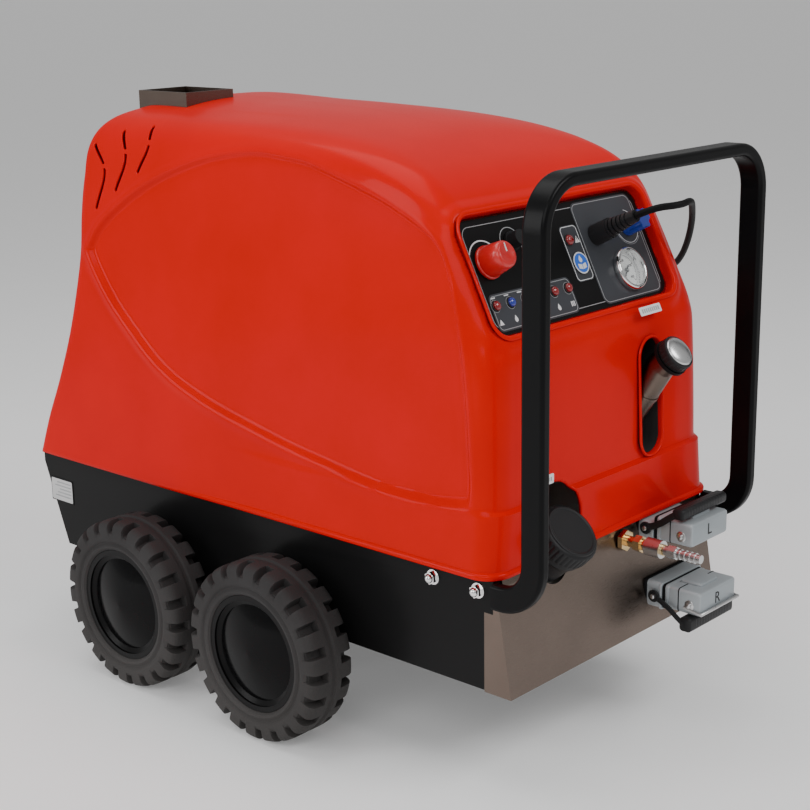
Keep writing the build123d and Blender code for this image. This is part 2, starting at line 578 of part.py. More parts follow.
# ------------------------------------------------------------------ hinges and seal
def hinges():
    fixed = None
    moving = None
    for s in (-1, 1):
        c = (s * 180, HINGE_Y, HINGE_Z)
        leaf = block(s * 180 - 12, s * 180 + 12, REAR_TOP_Y, REAR_TOP_Y + 3, 296, 346)
        knuckle = rod((s * 180 - 12, HINGE_Y, HINGE_Z), (1, 0, 0), 9, 24)
        f = leaf + knuckle
        f -= rod((s * 180 - 20, HINGE_Y, HINGE_Z), (1, 0, 0), 5.05, 40)
        fixed = f if fixed is None else fixed + f
        m = rod((s * 180 - 13, HINGE_Y, HINGE_Z), (1, 0, 0), 5, 27)
        m += rod((s * 180 + 12.4, HINGE_Y, HINGE_Z), (1, 0, 0), 9, 20)
        m += block(s * 180 + 12.4, s * 180 + 32.4, 1128.5, HINGE_Y, 350, 353)
        m += rod((s * 180 - 14.4, HINGE_Y, HINGE_Z), (1, 0, 0), 8, 2)
        moving = m if moving is None else moving + m
    put("hinge_fixed", fixed)
    put("hinge_moving", moving)


# ------------------------------------------------------------------ machinery under the hood
def machinery():
    bx, by, br = -10, 785, 200
    up = (Align.CENTER, Align.CENTER, Align.MIN)
    shell = Pos(bx, by, FLOOR_Z) * (Cylinder(br, 550, align=up) - Pos(0, 0, 3) * Cylinder(br - 3, 544, align=up))
    shell -= Pos(bx, by, 700) * Cylinder(60, 60)
    shell -= block(-137, -58, 853, 927, 700, 740)
    coil = None
    for k in range(9):
        t = Pos(bx, by, 230 + 48 * k) * Torus(160, 12)
        coil = t if coil is None else coil + t
    for a in (0, 120, 240):
        coil += Pos(bx, by, 230) * Rot(0, 0, a) * Pos(160, 0, 192) * Box(6, 26, 384)
        coil += Pos(bx, by, 171) * Rot(0, 0, a) * Pos(160, 0, 30) * Box(6, 26, 60)
    put("heating_coil", coil)
    burner = Pos(bx, by, 718) * Cylinder(76, 8, align=up) + Pos(bx, by, 600) * Cylinder(48, 120, align=up)
    burner += block(bx - 70, bx + 70, by - 60, by + 60, 726, 800)
    burner -= Pos(bx + 40, by, 763) * Rot(0, 90, 0) * Cylinder(50, 100)
    burner += Pos(bx + 70, by, 763) * Rot(0, 90, 0) * Cylinder(36, 74, align=up)
    burner += Pos(bx - 12, by, 763) * Rot(0, 90, 0) * Cylinder(7.94, 14, align=up)
    put("burner_head", burner)
    fan = Pos(bx + 4, by, 763) * Rot(0, 90, 0) * Cylinder(44, 4, align=up)
    for k in range(12):
        fan += Pos(bx + 8, by, 763) * Rot(0, 90, 0) * Rot(0, 0, 30 * k) * Pos(38, 0, 0) * Box(10, 2, 44, align=up)
    put("burner_fan", fan)
    duct = block(-139, -56, 851, 929, 718, 960) - block(-137, -58, 853, 927, 700, 980)
    put("boiler_shell", shell + duct)

    motor = Pos(-225, 490, 262) * Rot(0, 90, 0) * Cylinder(76, 200, align=up)
    for k in range(16):
        motor += Pos(-205, 490, 262) * Rot(22.5 * k, 0, 0) * Pos(0, 0, 78) * Box(150, 3, 12, align=(
            Align.MIN, Align.CENTER, Align.CENTER))
    motor += block(-200, -60, 430, 550, FLOOR_Z, 192)
    motor += block(-160, -80, 460, 520, 336, 376)
    motor -= Pos(-45, 490, 262) * Rot(0, 90, 0) * Cylinder(12.06, 30, align=up)
    put("drive_motor", motor)
    joint = Pos(-40, 490, 262) * Rot(0, 90, 0) * Cylinder(12, 86, align=up)
    joint += Pos(-12, 490, 262) * Rot(0, 90, 0) * Cylinder(34, 26, align=up)
    put("drive_coupling", joint)
    pump = block(30, 140, 430, 550, FLOOR_Z, 326)
    pump = fillet(pump.edges().filter_by(Axis.X), 14)
    pump -= Pos(26, 490, 262) * Rot(0, 90, 0) * Cylinder(12.06, 30, align=up)
    head = block(140, 214, 436, 544, 206, 300)
    for k in range(3):
        head += Pos(177, 458 + 32 * k, 300) * extrude(RegularPolygon(13, 6), 10)
        head += Pos(214, 458 + 32 * k, 236) * Rot(0, 90, 0) * extrude(RegularPolygon(13, 6), 10)
    head += Pos(177, 430, 270) * Rot(90, 0, 0) * extrude(RegularPolygon(16, 6), 20)
    head += Pos(177, 436, 270) * Rot(90, 0, 0) * Cylinder(11, 20)
    put("pressure_pump", pump + head)
    rise = tube([Vector(177, 409, 270), Vector(177, 360, 270), Vector(177, 330, 300), Vector(177, 324, 350),
                 Vector(177, 330, 400), Vector(165, 360, 440), Vector(150, 410, 452), Vector(130, 460, 460),
                 Vector(110, 510, 470), Vector(80, 560, 480), Vector(55, 588, 480)], 12)
    put("pressure_pipe", rise)
    board = block(-232, 40, 396, 400, FLOOR_Z + 30, 660)
    board += block(-232, 40, 388, 400, FLOOR_Z, FLOOR_Z + 30)
    box = block(-225, 30, 310, 396, 400, 650)
    box = fillet(box.edges().filter_by(Axis.Y), 8)
    put("control_box", board + box)


# ------------------------------------------------------------------ main
def build():
    for tag, side, y in (("front_left", -1, AXLE_Y[0]), ("front_right", 1, AXLE_Y[0]),
                         ("rear_left", -1, AXLE_Y[1]), ("rear_right", 1, AXLE_Y[1])):
        wheel(tag, side, y)
    chassis(axles())
    handle()
    hood()
    panel()
    red = rotary("red", RED_KNOB, 24, 44, 26)
    black = rotary("black", BLACK_KNOB, 13, 22, 15)
    blue = rotary("blue", BLUE_KNOB, 15, 38, 17, lobes=6)
    put("switch_bodies", red + black + blue)
    gauge()
    lead()
    fillers()
    put("connector_bases", connector("left", CONN_Z[0], True) + connector("right", CONN_Z[1], False))
    coupling()
    hinges()
    machinery()


build()
for name, shape in PARTS.items():
    export_step(shape, "parts/" + name + ".step")
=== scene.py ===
import json
import math

import bmesh
import bpy
import numpy as np
from mathutils import Matrix, Vector

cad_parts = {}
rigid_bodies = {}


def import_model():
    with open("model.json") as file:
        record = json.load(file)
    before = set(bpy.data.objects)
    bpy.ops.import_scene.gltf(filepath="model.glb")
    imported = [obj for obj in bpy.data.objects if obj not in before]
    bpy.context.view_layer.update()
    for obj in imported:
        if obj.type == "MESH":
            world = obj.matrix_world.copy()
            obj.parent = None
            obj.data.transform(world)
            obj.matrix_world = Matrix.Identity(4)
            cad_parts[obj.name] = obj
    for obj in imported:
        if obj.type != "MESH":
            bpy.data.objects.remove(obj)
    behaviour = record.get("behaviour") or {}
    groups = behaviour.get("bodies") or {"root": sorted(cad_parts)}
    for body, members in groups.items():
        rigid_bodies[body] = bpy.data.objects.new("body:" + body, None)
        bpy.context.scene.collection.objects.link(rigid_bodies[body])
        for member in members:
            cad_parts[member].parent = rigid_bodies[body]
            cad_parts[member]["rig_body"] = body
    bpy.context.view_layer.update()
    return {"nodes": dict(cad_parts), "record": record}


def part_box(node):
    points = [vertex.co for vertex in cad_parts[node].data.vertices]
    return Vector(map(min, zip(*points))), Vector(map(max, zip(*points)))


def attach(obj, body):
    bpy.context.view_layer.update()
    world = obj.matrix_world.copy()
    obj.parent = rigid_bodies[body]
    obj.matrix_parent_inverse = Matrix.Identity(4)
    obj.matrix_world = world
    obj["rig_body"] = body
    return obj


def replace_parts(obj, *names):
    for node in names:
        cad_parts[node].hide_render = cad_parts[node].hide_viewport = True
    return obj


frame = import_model()
NODES = frame["nodes"]
MM = 0.001
Y0 = -0.5245           # local zero of the design, at the foot of the front panel
SLOPE = np.array([0.0, 0.445, 0.8955])
NORMAL = np.array([0.0, -0.8955, 0.445])
FACE = -11.4           # printed face of the control panel along NORMAL, mm


def at(x, l, z):
    """A design point in mm as a frame point in metres."""
    return np.array([x * MM, l * MM + Y0, z * MM])


def panel_at(u, v, w=FACE):
    """A point on the tilted control panel, u across, v up, w out."""
    return at(0, 51, 675) + (np.array([1.0, 0, 0]) * u + SLOPE * v + NORMAL * w) * MM


def body_of(node):
    return NODES[node]["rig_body"]


# ---- camera
camera = bpy.data.objects.new("camera", bpy.data.cameras.new("camera"))
bpy.context.scene.collection.objects.link(camera)
bpy.context.scene.camera = camera
CAMERA_AT = (-2.04, -1.9025, 1.219)
YAW, PITCH, ROLL = 0.835, 0.262, -0.016
SENSOR, LENS = 36.0, 72.98
look = Vector((math.sin(YAW) * math.cos(PITCH), math.cos(YAW) * math.cos(PITCH), -math.sin(PITCH)))
side = Vector((math.cos(YAW), -math.sin(YAW), 0))
upward = side.cross(look)
turned_side = side * math.cos(ROLL) + upward * math.sin(ROLL)
turned_up = upward * math.cos(ROLL) - side * math.sin(ROLL)
camera.matrix_world = Matrix.Translation(CAMERA_AT) @ Matrix(
    (turned_side, turned_up, -look)).transposed().to_4x4()
camera.data.sensor_width = SENSOR
camera.data.lens = LENS
camera.data.clip_start = 0.05


# ---- materials
MATS = {}
DUST = (0.23, 0.21, 0.19)
RED = (0.60, 0.0005, 0.0002)


def material(name, colour, rough, metal=0.0, coat=0.0, coat_rough=0.05, spread=0.06, grain=120.0, bump=0.05,
             rough_spread=0.08, stretch=(1, 1, 1), wear=0.0, wear_colour=(0.5, 0.5, 0.5), dust=0.0, **more):
    """Shader with colour variation, fine surface grain, rubbed edges and a little dust low down."""
    mat = MATS[name] = bpy.data.materials.new(name)
    mat.use_nodes = True
    tree = mat.node_tree
    shader = tree.nodes["Principled BSDF"]

    def fill(made, values, sources):
        """Sets a node's sockets to values and links sources into others."""
        for key, value in values.items():
            made.inputs[key.replace("_", " ")].default_value = value
        for key, source in sources.items():
            tree.links.new(source, made.inputs[key])
        return made

    def node(kind, sources, **values):
        return fill(tree.nodes.new("ShaderNode" + kind), values, sources)

    def stops(ramp, low, high):
        for stop, position in zip(ramp.color_ramp.elements, (low, high)):
            stop.position = position
        return ramp.outputs["Color"]

    def product(sources):
        made = node("Math", sources)
        made.operation = "MULTIPLY"
        return made

    def blended(under, over, share):
        return node("MixRGB", {"Fac": share, "Color1": under}, Color2=(*over, 1)).outputs["Color"]

    place = node("TexCoord", {}).outputs["Object"]
    scaled = node("Mapping", {"Vector": place}, Scale=stretch).outputs["Vector"]
    broad = node("TexNoise", {"Vector": place}, Scale=7.0, Detail=4.0).outputs["Fac"]
    fine = node("TexNoise", {"Vector": scaled}, Scale=grain, Detail=3.0).outputs["Fac"]
    tint = node("ValToRGB", {"Fac": broad})
    shown = stops(tint, 0.3, 0.7)
    for stop, share in zip(tint.color_ramp.elements, (1 - spread, 1 + spread)):
        stop.color = [min(1, c * share) for c in colour] + [1]
    if wear:
        edge = node("NewGeometry", {}).outputs["Pointiness"]
        worn = product({0: stops(node("ValToRGB", {"Fac": edge}), 0.53, 0.60)})
        worn.inputs[1].default_value = wear
        shown = blended(shown, wear_colour, worn.outputs["Value"])
    if dust:
        height = node("SeparateXYZ", {"Vector": place}).outputs["Z"]
        low = node("MapRange", {"Value": height}, From_Min=0.34, From_Max=0.0, To_Max=dust).outputs["Result"]
        shown = blended(shown, DUST, product({0: low, 1: fine}).outputs["Value"])
    gloss = node("MapRange", {"Value": fine}, To_Min=max(0.02, rough - rough_spread),
                 To_Max=min(1, rough + rough_spread))
    relief = node("Bump", {"Height": fine}, Strength=bump, Distance=0.001)
    fill(shader, {"Metallic": metal, "Coat_Weight": coat, "Coat_Roughness": coat_rough, **more},
         {"Base Color": shown, "Roughness": gloss.outputs["Result"], "Normal": relief.outputs["Normal"]})
    return mat


material("red_moulding", RED, 0.32, coat=0.07, coat_rough=0.03, spread=0.04, grain=260,
         bump=0.02, rough_spread=0.04, Specular_IOR_Level=0.06)
material("black_paint", (0.003, 0.003, 0.0033), 0.34, coat=0.06, coat_rough=0.2,
         grain=900, bump=0.12, wear=0.15, wear_colour=(0.03, 0.03, 0.03),
         dust=0.015, Specular_IOR_Level=0.08)
material("stainless", (0.155, 0.12, 0.10), 0.30, metal=1.0, grain=60,
         stretch=(1.5, 40, 40), bump=0.10, rough_spread=0.12, spread=0.10)
material("chrome", (0.80, 0.80, 0.80), 0.07, metal=1.0, grain=40, bump=0.01, rough_spread=0.04)
material("dark_steel", (0.10, 0.10, 0.105), 0.45, metal=1.0, grain=300, bump=0.2)
material("die_cast", (0.30, 0.335, 0.355), 0.42, metal=0.35, grain=700, bump=0.25, wear=0.5,
         wear_colour=(0.72, 0.73, 0.74))
material("brass", (0.72, 0.52, 0.27), 0.22, metal=1.0, grain=200, bump=0.05, spread=0.15)
material("bright_steel", (0.62, 0.62, 0.62), 0.30, metal=1.0, grain=150, bump=0.05)
material("natural_plastic", (0.72, 0.71, 0.66), 0.45, grain=200, bump=0.05)
material("grey_paint", (0.25, 0.26, 0.27), 0.4, grain=500, bump=0.1, wear=0.3)
material("cast_alloy", (0.45, 0.45, 0.46), 0.5, metal=1.0, grain=500, bump=0.4)
material("black_plastic", (0.012, 0.012, 0.013), 0.42, grain=1200, bump=0.25,
         spread=0.15, wear=0.15, wear_colour=(0.03, 0.03, 0.03),
         Specular_IOR_Level=0.25)
material("grey_film", (0.045, 0.048, 0.055), 0.34, grain=900, bump=0.06,
         Specular_IOR_Level=0.25)
material("lamp_lens", (0.24, 0.004, 0.006), 0.12, coat=0.8, grain=500, bump=0.03)
material("clear_glass", (0.9, 0.93, 0.95), 0.03, grain=60, bump=0.0, spread=0.01,
         rough_spread=0.01, Alpha=0.10)
material("black_rubber", (0.005, 0.005, 0.0055), 0.55, grain=800, bump=0.3, spread=0.2,
         Specular_IOR_Level=0.12)
material("red_knob_plastic", (0.62, 0.012, 0.012), 0.33, coat=0.3, grain=600,
         bump=0.08)
material("blue_knob_plastic", (0.012, 0.035, 0.30), 0.33, coat=0.3, grain=600,
         bump=0.08)
material("tread_rubber", (0.026, 0.0245, 0.025), 0.7, grain=420, bump=0.5, spread=0.3,
         dust=0.22, wear=0.35, wear_colour=(0.075, 0.07, 0.072), Specular_IOR_Level=0.2)
material("gloss_black", (0.003, 0.003, 0.0033), 0.16, coat=0.06, grain=90, bump=0.03,
         dust=0.01, Specular_IOR_Level=0.06)
material("white_print", (0.74, 0.75, 0.76), 0.4, grain=600, bump=0.03)
material("grey_print", (0.34, 0.35, 0.36), 0.4, grain=600, bump=0.03)
material("blue_print", (0.03, 0.14, 0.62), 0.35, grain=600, bump=0.03)
material("blue_lens", (0.012, 0.03, 0.30), 0.12, coat=0.8, grain=500, bump=0.03)
material("dial_white", (0.82, 0.82, 0.80), 0.45, grain=600, bump=0.02)
material("dark_inside", (0.012, 0.012, 0.012), 0.8, grain=100, bump=0.1)

NODE_SLOT = {s["node"]: s["material_slot"] for s in frame["record"]["subparts"]}
for name, node in NODES.items():
    node.data.materials.clear()
    node.data.materials.append(MATS[NODE_SLOT[name]])


# ---- building helpers
def piece(name, verts, faces, body, slot, mat=None, smooth=True, auto=40):
    """A new mesh piece riding on a body."""
    mesh = bpy.data.meshes.new(name)
    mesh.from_pydata([tuple(map(float, v)) for v in verts], [], [tuple(map(int, f)) for f in faces])
    mesh.validate()
    mesh.update()
    obj = bpy.data.objects.new(name, mesh)
    bpy.context.scene.collection.objects.link(obj)
    mesh.materials.append(MATS[mat or slot])
    if smooth:
        mesh.polygons.foreach_set("use_smooth", [True] * len(mesh.polygons))
        mesh.set_sharp_from_angle(angle=math.radians(auto))
    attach(obj, body)
    return obj


def tidy_normals(obj):
    bm = bmesh.new()
    bm.from_mesh(obj.data)
    bmesh.ops.remove_doubles(bm, verts=bm.verts, dist=1e-6)
    bmesh.ops.recalc_face_normals(bm, faces=bm.faces)
    bm.to_mesh(obj.data)
    bm.free()


class Shape:
    """Collects prisms, lofts and tubes into one mesh."""

    def __init__(self):
        self.verts, self.faces = [], []

    def loops(self, rings, close=True, caps=True):
        """Skins a list of equal rings of points."""
        n = len(rings[0])
        base = len(self.verts)
        for r in rings:
            self.verts.extend(np.asarray(p, float) for p in r)
        span = n if close else n - 1
        for i in range(len(rings) - 1):
            for k in range(span):
                a, b = base + i * n + k, base + i * n + (k + 1) % n
                self.faces.append((a, b, b + n, a + n))
        if caps:
            self.faces.append(tuple(base + k for k in reversed(range(n))))
            self.faces.append(tuple(base + (len(rings) - 1) * n + k for k in range(n)))

    def turned(self, origin, axis, profile, steps=48, caps=True):
        """Solid of revolution; profile is (distance along axis, radius) in mm."""
        d = np.asarray(axis, float) / np.linalg.norm(axis)
        a = np.cross(d, [1.0, 0, 0]) if abs(d[0]) < 0.9 else np.cross(d, [0, 0, 1.0])
        a /= np.linalg.norm(a)
        b = np.cross(d, a)
        o = np.asarray(origin, float)
        rings = []
        for h, r in profile:
            rings.append([o + d * h * MM + (a * math.cos(t) + b * math.sin(t)) * max(r, 0.01) * MM
                          for t in np.linspace(0, 2 * math.pi, steps, endpoint=False)])
        self.loops(rings, caps=caps)

    def prism(self, outline, lift, where):
        """Extrudes a 2-D outline in mm; where(u, v, w) places it and lift is (low, high)."""
        low = [where(u, v, lift[0]) for u, v in outline]
        high = [where(u, v, lift[1]) for u, v in outline]
        self.loops([low, high])

    def band(self, inner, outer, lift, where, close=True):
        """Flat strip between two outlines with the same number of points."""
        rings = [[where(u, v, w) for u, v in o] for o, w in
                 ((inner, lift[0]), (outer, lift[0]), (outer, lift[1]), (inner, lift[1]))]
        rings.append(rings[0])
        n = len(inner)
        base = len(self.verts)
        for r in rings[:4]:
            self.verts.extend(np.asarray(p, float) for p in r)
        span = n if close else n - 1
        for i in range(4):
            for k in range(span):
                a, b = base + i * n + k, base + i * n + (k + 1) % n
                c, d = base + ((i + 1) % 4) * n + (k + 1) % n, base + ((i + 1) % 4) * n + k
                self.faces.append((a, b, c, d))
        if not close:
            self.faces.append(tuple(base + i * n for i in range(4)))
            self.faces.append(tuple(base + i * n + n - 1 for i in reversed(range(4))))

    def bar(self, u0, v0, u1, v1, lift, where):
        """Upright rectangle between two corners."""
        self.prism([(u0, v0), (u1, v0), (u1, v1), (u0, v1)], lift, where)

    def make(self, name, body, slot, mat=None, **more):
        obj = piece(name, self.verts, self.faces, body, slot, mat, **more)
        tidy_normals(obj)
        return obj


def rounded(w, h, r, cu=0.0, cv=0.0, steps=8):
    """Rounded rectangle outline, in mm."""
    r = min(r, w / 2 - 0.01, h / 2 - 0.01)
    out = []
    for sx, sy, start in ((1, 1, 0), (-1, 1, 90), (-1, -1, 180), (1, -1, 270)):
        for k in range(steps + 1):
            a = math.radians(start + 90 * k / steps)
            out.append((cu + sx * (w / 2 - r) + r * math.cos(a), cv + sy * (h / 2 - r) + r * math.sin(a)))
    return out


def arc(r, a0, a1, cu=0.0, cv=0.0, steps=24):
    return [(cu + r * math.cos(math.radians(a0 + (a1 - a0) * k / steps)),
             cv + r * math.sin(math.radians(a0 + (a1 - a0) * k / steps))) for k in range(steps + 1)]


def circle(r, cu=0.0, cv=0.0, steps=32):
    return arc(r, 0, 360 - 360 / steps, cu, cv, steps - 1)


def dense(points, n=240):
    """Catmull-Rom points through a chain, as an array."""
    p = np.array(points, float)
    ext = np.vstack([2 * p[0] - p[1], p, 2 * p[-1] - p[-2]])
    per = max(2, n // (len(p) - 1))
    out = []
    for i in range(len(p) - 1):
        p0, p1, p2, p3 = ext[i:i + 4]
        for t in np.linspace(0, 1, per, endpoint=False):
            out.append(0.5 * (2 * p1 + (p2 - p0) * t + (2 * p0 - 5 * p1 + 4 * p2 - p3) * t * t
                              + (3 * p1 - p0 - 3 * p2 + p3) * t ** 3))
    out.append(p[-1])
    return np.array(out)


def table(points):
    """A smooth one-valued function through points (a, b), with its slope."""
    d = dense(points)
    d = d[np.argsort(d[:, 0])]
    slope = np.gradient(d[:, 1], d[:, 0])
    return lambda a: np.interp(a, d[:, 0], d[:, 1]), lambda a: np.interp(a, d[:, 0], slope)


def smax(a, b, k):
    h = np.maximum(k - np.abs(a - b), 0) / k
    return np.maximum(a, b) + h * h * k / 4


def smooth_step(x, a, b):
    t = np.clip((x - a) / (b - a), 0, 1)
    return t * t * (3 - 2 * t)


def to_segments(p, chain):
    """Distance from 2-D points to a chain of segments."""
    best = np.full(len(p), 1e9)
    for a, b in zip(chain[:-1], chain[1:]):
        d = b - a
        t = np.clip(((p - a) @ d) / max(d @ d, 1e-12), 0, 1)
        best = np.minimum(best, np.hypot(*(p - a - t[:, None] * d).T))
    return best


def inside(p, chain):
    """Even-odd test of 2-D points in a closed chain."""
    odd = np.zeros(len(p), bool)
    for a, b in zip(chain, np.roll(chain, -1, axis=0)):
        cross = (a[1] > p[:, 1]) != (b[1] > p[:, 1])
        with np.errstate(divide="ignore", invalid="ignore"):
            x = a[0] + (p[:, 1] - a[1]) * (b[0] - a[0]) / (b[1] - a[1])
        odd ^= cross & (p[:, 0] < x)
    return odd


# ---- hood moulding
# Outlines of the moulding in design mm: front and back by height, roof by length, and half the end outline,
# once by height and once by width.
FRONT = table([(300, 36), (344, 36), (400, 36), (466, 36.4), (560, 40), (640, 45), (675, 51.5), (720, 74),
               (780, 103), (830, 128), (900, 162), (1005, 214)])
BACK = table([(300, 1143), (344, 1128), (415, 1103), (500, 1066), (600, 1030), (718, 1002), (800, 996),
              (880, 988), (940, 977), (990, 960), (1010, 950)])
ROOF = table([(60, 690), (100, 774), (128, 830), (150, 869), (185, 901), (239, 929), (336, 960), (448, 982),
              (563, 995), (700, 1003), (820, 1003), (905, 996), (950, 978), (977, 940), (988, 880),
              (1020, 700)])
END_X = table([(300, 303), (344, 300), (500, 290), (700, 278), (860, 266), (930, 252), (968, 215),
               (988, 150)])
END_Z = table([(-1, 1005), (0, 1005), (75, 1001), (150, 988), (215, 968), (252, 930), (266, 860),
               (278, 700)])
FOOT_Z, FLANGE_Z = 344.0, 440.0             # foot of the moulding and top of its skirt
FOOT_FRONT, FOOT_BACK, FOOT_HALF, FOOT_R = 36.0, 1128.0, 296.0, 42.0
WINDOW = (-16.0, 119.0, 462.0, 184.0, 27.0)    # control panel opening: centre u, v, width, height, corner
SLOT = (120.0, 542.0, 58.0, 190.0, 28.0)       # filler slot: centre x, z, width, height, corner
ARCH = (-140.0, 397.0, 63.0)                   # water neck arch: centre x, z, radius
OUTLET = (-97.5, 894.0, 53.0, 63.0)            # roof outlet: centre x, l, half sizes
VENT_HALF = 3.4                                # half width of a curved vent
BRIDGE = 3.5                                   # half width of the bridge across each vent

# Edge of the recessed side panel, as (l, z), over the top and back along the bottom.
UPPER = dense([(972, 740), (950, 772), (915, 803), (848, 846), (780, 879), (695, 909), (625, 925), (554, 933),
               (490, 930), (427, 923), (307, 892), (240, 869), (185, 843), (152, 808), (128, 745), (108, 660),
               (96, 560), (90, 480), (92, 452)], 160)
LOWER = dense([(92, 452), (168, 443), (270, 443), (404, 460), (480, 472), (561, 489), (650, 510), (738, 539),
               (800, 571), (853, 611), (905, 655), (947, 703), (972, 740)], 160)
SIDE_PANEL = np.vstack([UPPER, LOWER[1:-1]])
LOUVRES = (((958, 923), (926, 880), (947, 816)), ((895, 948), (871, 905), (894, 851)),
           ((829, 958), (817, 925), (836, 886)))


def rounded_box(x, y, hx, hy, r):
    qx, qy = np.abs(x) - hx + r, np.abs(y) - hy + r
    return np.hypot(np.maximum(qx, 0), np.maximum(qy, 0)) + np.minimum(np.maximum(qx, qy), 0) - r


def hood_field(p):
    """Negative inside the moulding; p in design mm."""
    x, l, z = np.abs(p[:, 0]), p[:, 1], p[:, 2]
    f = (FRONT[0](z) - l) / np.hypot(1, FRONT[1](z))
    b = (l - BACK[0](z)) / np.hypot(1, BACK[1](z))
    r = (z - ROOF[0](l)) / np.hypot(1, ROOF[1](l))
    e = np.maximum((x - END_X[0](z)) / np.hypot(1, END_X[1](z)), (z - END_Z[0](x)) / np.hypot(1, END_Z[1](x)))
    e = np.where(z > 988, (z - END_Z[0](x)) / np.hypot(1, END_Z[1](x)), e)
    plan = rounded_box(x, l - 582, 287.3 - (z - 334) * 0.03284, 550, 46)
    body = smax(np.maximum(f, b), r, 6)
    corner = 46 - 34 * smooth_step(l, 700, 940)
    share = smooth_step(l, 420, 760)
    side = e * share + smax(e, plan, 4) * (1 - share)
    body = smax(body, side, corner)
    t = (z - FOOT_Z) / (FLANGE_Z - FOOT_Z)
    rear = FOOT_BACK - 36 * t
    skirt = rounded_box(x, l - (FOOT_FRONT + rear) / 2, FOOT_HALF - 11.5 * t, (rear - FOOT_FRONT) / 2, FOOT_R)
    skirt = np.maximum(skirt, z - FLANGE_Z)
    h = np.maximum(8 - np.abs(body - skirt), 0) / 8
    return np.minimum(body, skirt) - h * h * 2


def louvre_gap(p):
    """Distance to the curved vent slots, negative inside."""
    best = np.full(len(p), 1e9)
    for top, mid, low in LOUVRES:
        line = dense([top, mid, low], 24)
        d = to_segments(p, line) - VENT_HALF
        bridge = top[1] - (top[1] - low[1]) * 0.32
        best = np.minimum(best, np.maximum(d, BRIDGE - np.abs(p[:, 1] - bridge)))
    return best


def cut(verts, faces, field, select, axes):
    """Snaps the nearest corners onto an outline and drops the faces inside it.

    The corners move only along axes, which are two unit directions."""
    live = select(*verts.T)
    sd = np.where(live, field(verts), 1e3)
    for _ in range(2):
        edges = np.vstack([faces[:, [k, (k + 1) % 4]] for k in range(4)])
        a, b = edges[:, 0], edges[:, 1]
        over = (sd[a] * sd[b] < 0) & live[a] & live[b]
        a, b = a[over], b[over]
        pick = np.unique(np.where(np.abs(sd[a]) <= np.abs(sd[b]), a, b))
        if not len(pick):
            break
        p = verts[pick]
        for _ in range(3):
            value = field(p)
            grad = np.zeros((len(p), 3))
            for axis in axes:
                step = np.asarray(axis) * 0.2
                grad += ((field(p + step) - field(p - step)) / 0.4)[:, None] * np.asarray(axis)
            size = np.maximum((grad ** 2).sum(1), 0.25)
            p = p - grad * (value / size)[:, None]
        verts[pick] = p
        sd[pick] = 0.0
    corner = sd[faces]
    gone = (corner <= 0).all(1) & (corner.min(1) < 0) & live[faces].all(1)
    mixed = (corner.min(1) < -1e-9) & (corner.max(1) > 1e-9) & live[faces].all(1)
    kept = faces[~gone & ~mixed]
    extra = []
    for f in faces[mixed]:
        s = sd[f]
        for tri in ((0, 1, 2), (0, 2, 3), (0, 1, 3), (1, 2, 3)):
            if (s[list(tri)] >= 0).all() and s[list(tri)].max() > 0:
                extra.append([f[i] for i in tri] + [f[tri[2]]])
                break
    if extra:
        kept = np.vstack([kept, np.array(extra)])
    return verts, kept


def hood_grid():
    """Corners of a box-like grid, each moved along a ray from the core onto the moulding's surface."""
    xs = np.unique(np.round(np.linspace(-300, 300, 141), 3))
    ls = np.unique(np.round(np.concatenate([np.linspace(26, 800, 168), np.linspace(800, 980, 76),
                                            np.linspace(980, 1136, 32)]), 3))
    zs = np.unique(np.round(np.concatenate([np.linspace(344, 440, 22), np.linspace(440, 800, 86),
                                            np.linspace(800, 970, 68), np.linspace(970, 1012, 11)]), 3))
    core_lo, core_hi = np.array([-130.0, 230.0, 344.0]), np.array([130.0, 900.0, 780.0])
    verts, faces, base = [], [], 0
    patches = []
    for x, flip in ((-300.0, True), (300.0, False)):
        a, b = np.meshgrid(ls, zs, indexing="ij")
        patches.append((np.stack([np.full(a.shape, x), a, b], -1), flip))
    for l, flip in ((ls[0], False), (ls[-1], True)):
        a, b = np.meshgrid(xs, zs, indexing="ij")
        patches.append((np.stack([a, np.full(a.shape, l), b], -1), flip))
    a, b = np.meshgrid(xs, ls, indexing="ij")
    patches.append((np.stack([a, b, np.full(a.shape, zs[-1])], -1), False))
    for grid, flip in patches:
        n, m = grid.shape[:2]
        ids = base + np.arange(n * m).reshape(n, m)
        quad = np.stack([ids[:-1, :-1], ids[1:, :-1], ids[1:, 1:], ids[:-1, 1:]], -1).reshape(-1, 4)
        faces.append(quad[:, ::-1] if flip else quad)
        verts.append(grid.reshape(-1, 3))
        base += n * m
    p = np.vstack(verts)
    faces = np.vstack(faces)
    key = np.round(p * 100).astype(np.int64)
    _, first, back = np.unique(key, axis=0, return_index=True, return_inverse=True)
    p, faces = p[first], back.reshape(-1)[faces]
    core = np.clip(p, core_lo, core_hi)
    ray = p - core
    lo, hi = np.zeros(len(p)), np.full(len(p), 1.4)
    for _ in range(26):
        mid = (lo + hi) / 2
        out = hood_field(core + ray * mid[:, None]) > 0
        hi = np.where(out, mid, hi)
        lo = np.where(out, lo, mid)
    return core + ray * ((lo + hi) / 2)[:, None], faces


def window_uv(p):
    q = p - np.array([0, 51, 675.0])
    return q[:, 0], q @ SLOPE


def window_field(p, grow=6.0):
    u, v = window_uv(p)
    cu, cv, width, height, corner = WINDOW
    return rounded_box(u - cu, v - cv, width / 2 + grow, height / 2 + grow, corner + grow)


def slot_field(p):
    cx, cz, width, height, corner = SLOT
    return rounded_box(p[:, 0] - cx, p[:, 2] - cz, width / 2, height / 2, corner)


def arch_field(p):
    cx, cz, radius = ARCH
    round_top = np.hypot(p[:, 0] - cx, p[:, 2] - cz) - radius
    straight = np.maximum(np.abs(p[:, 0] - cx) - radius, p[:, 2] - cz)
    return np.minimum(round_top, straight)


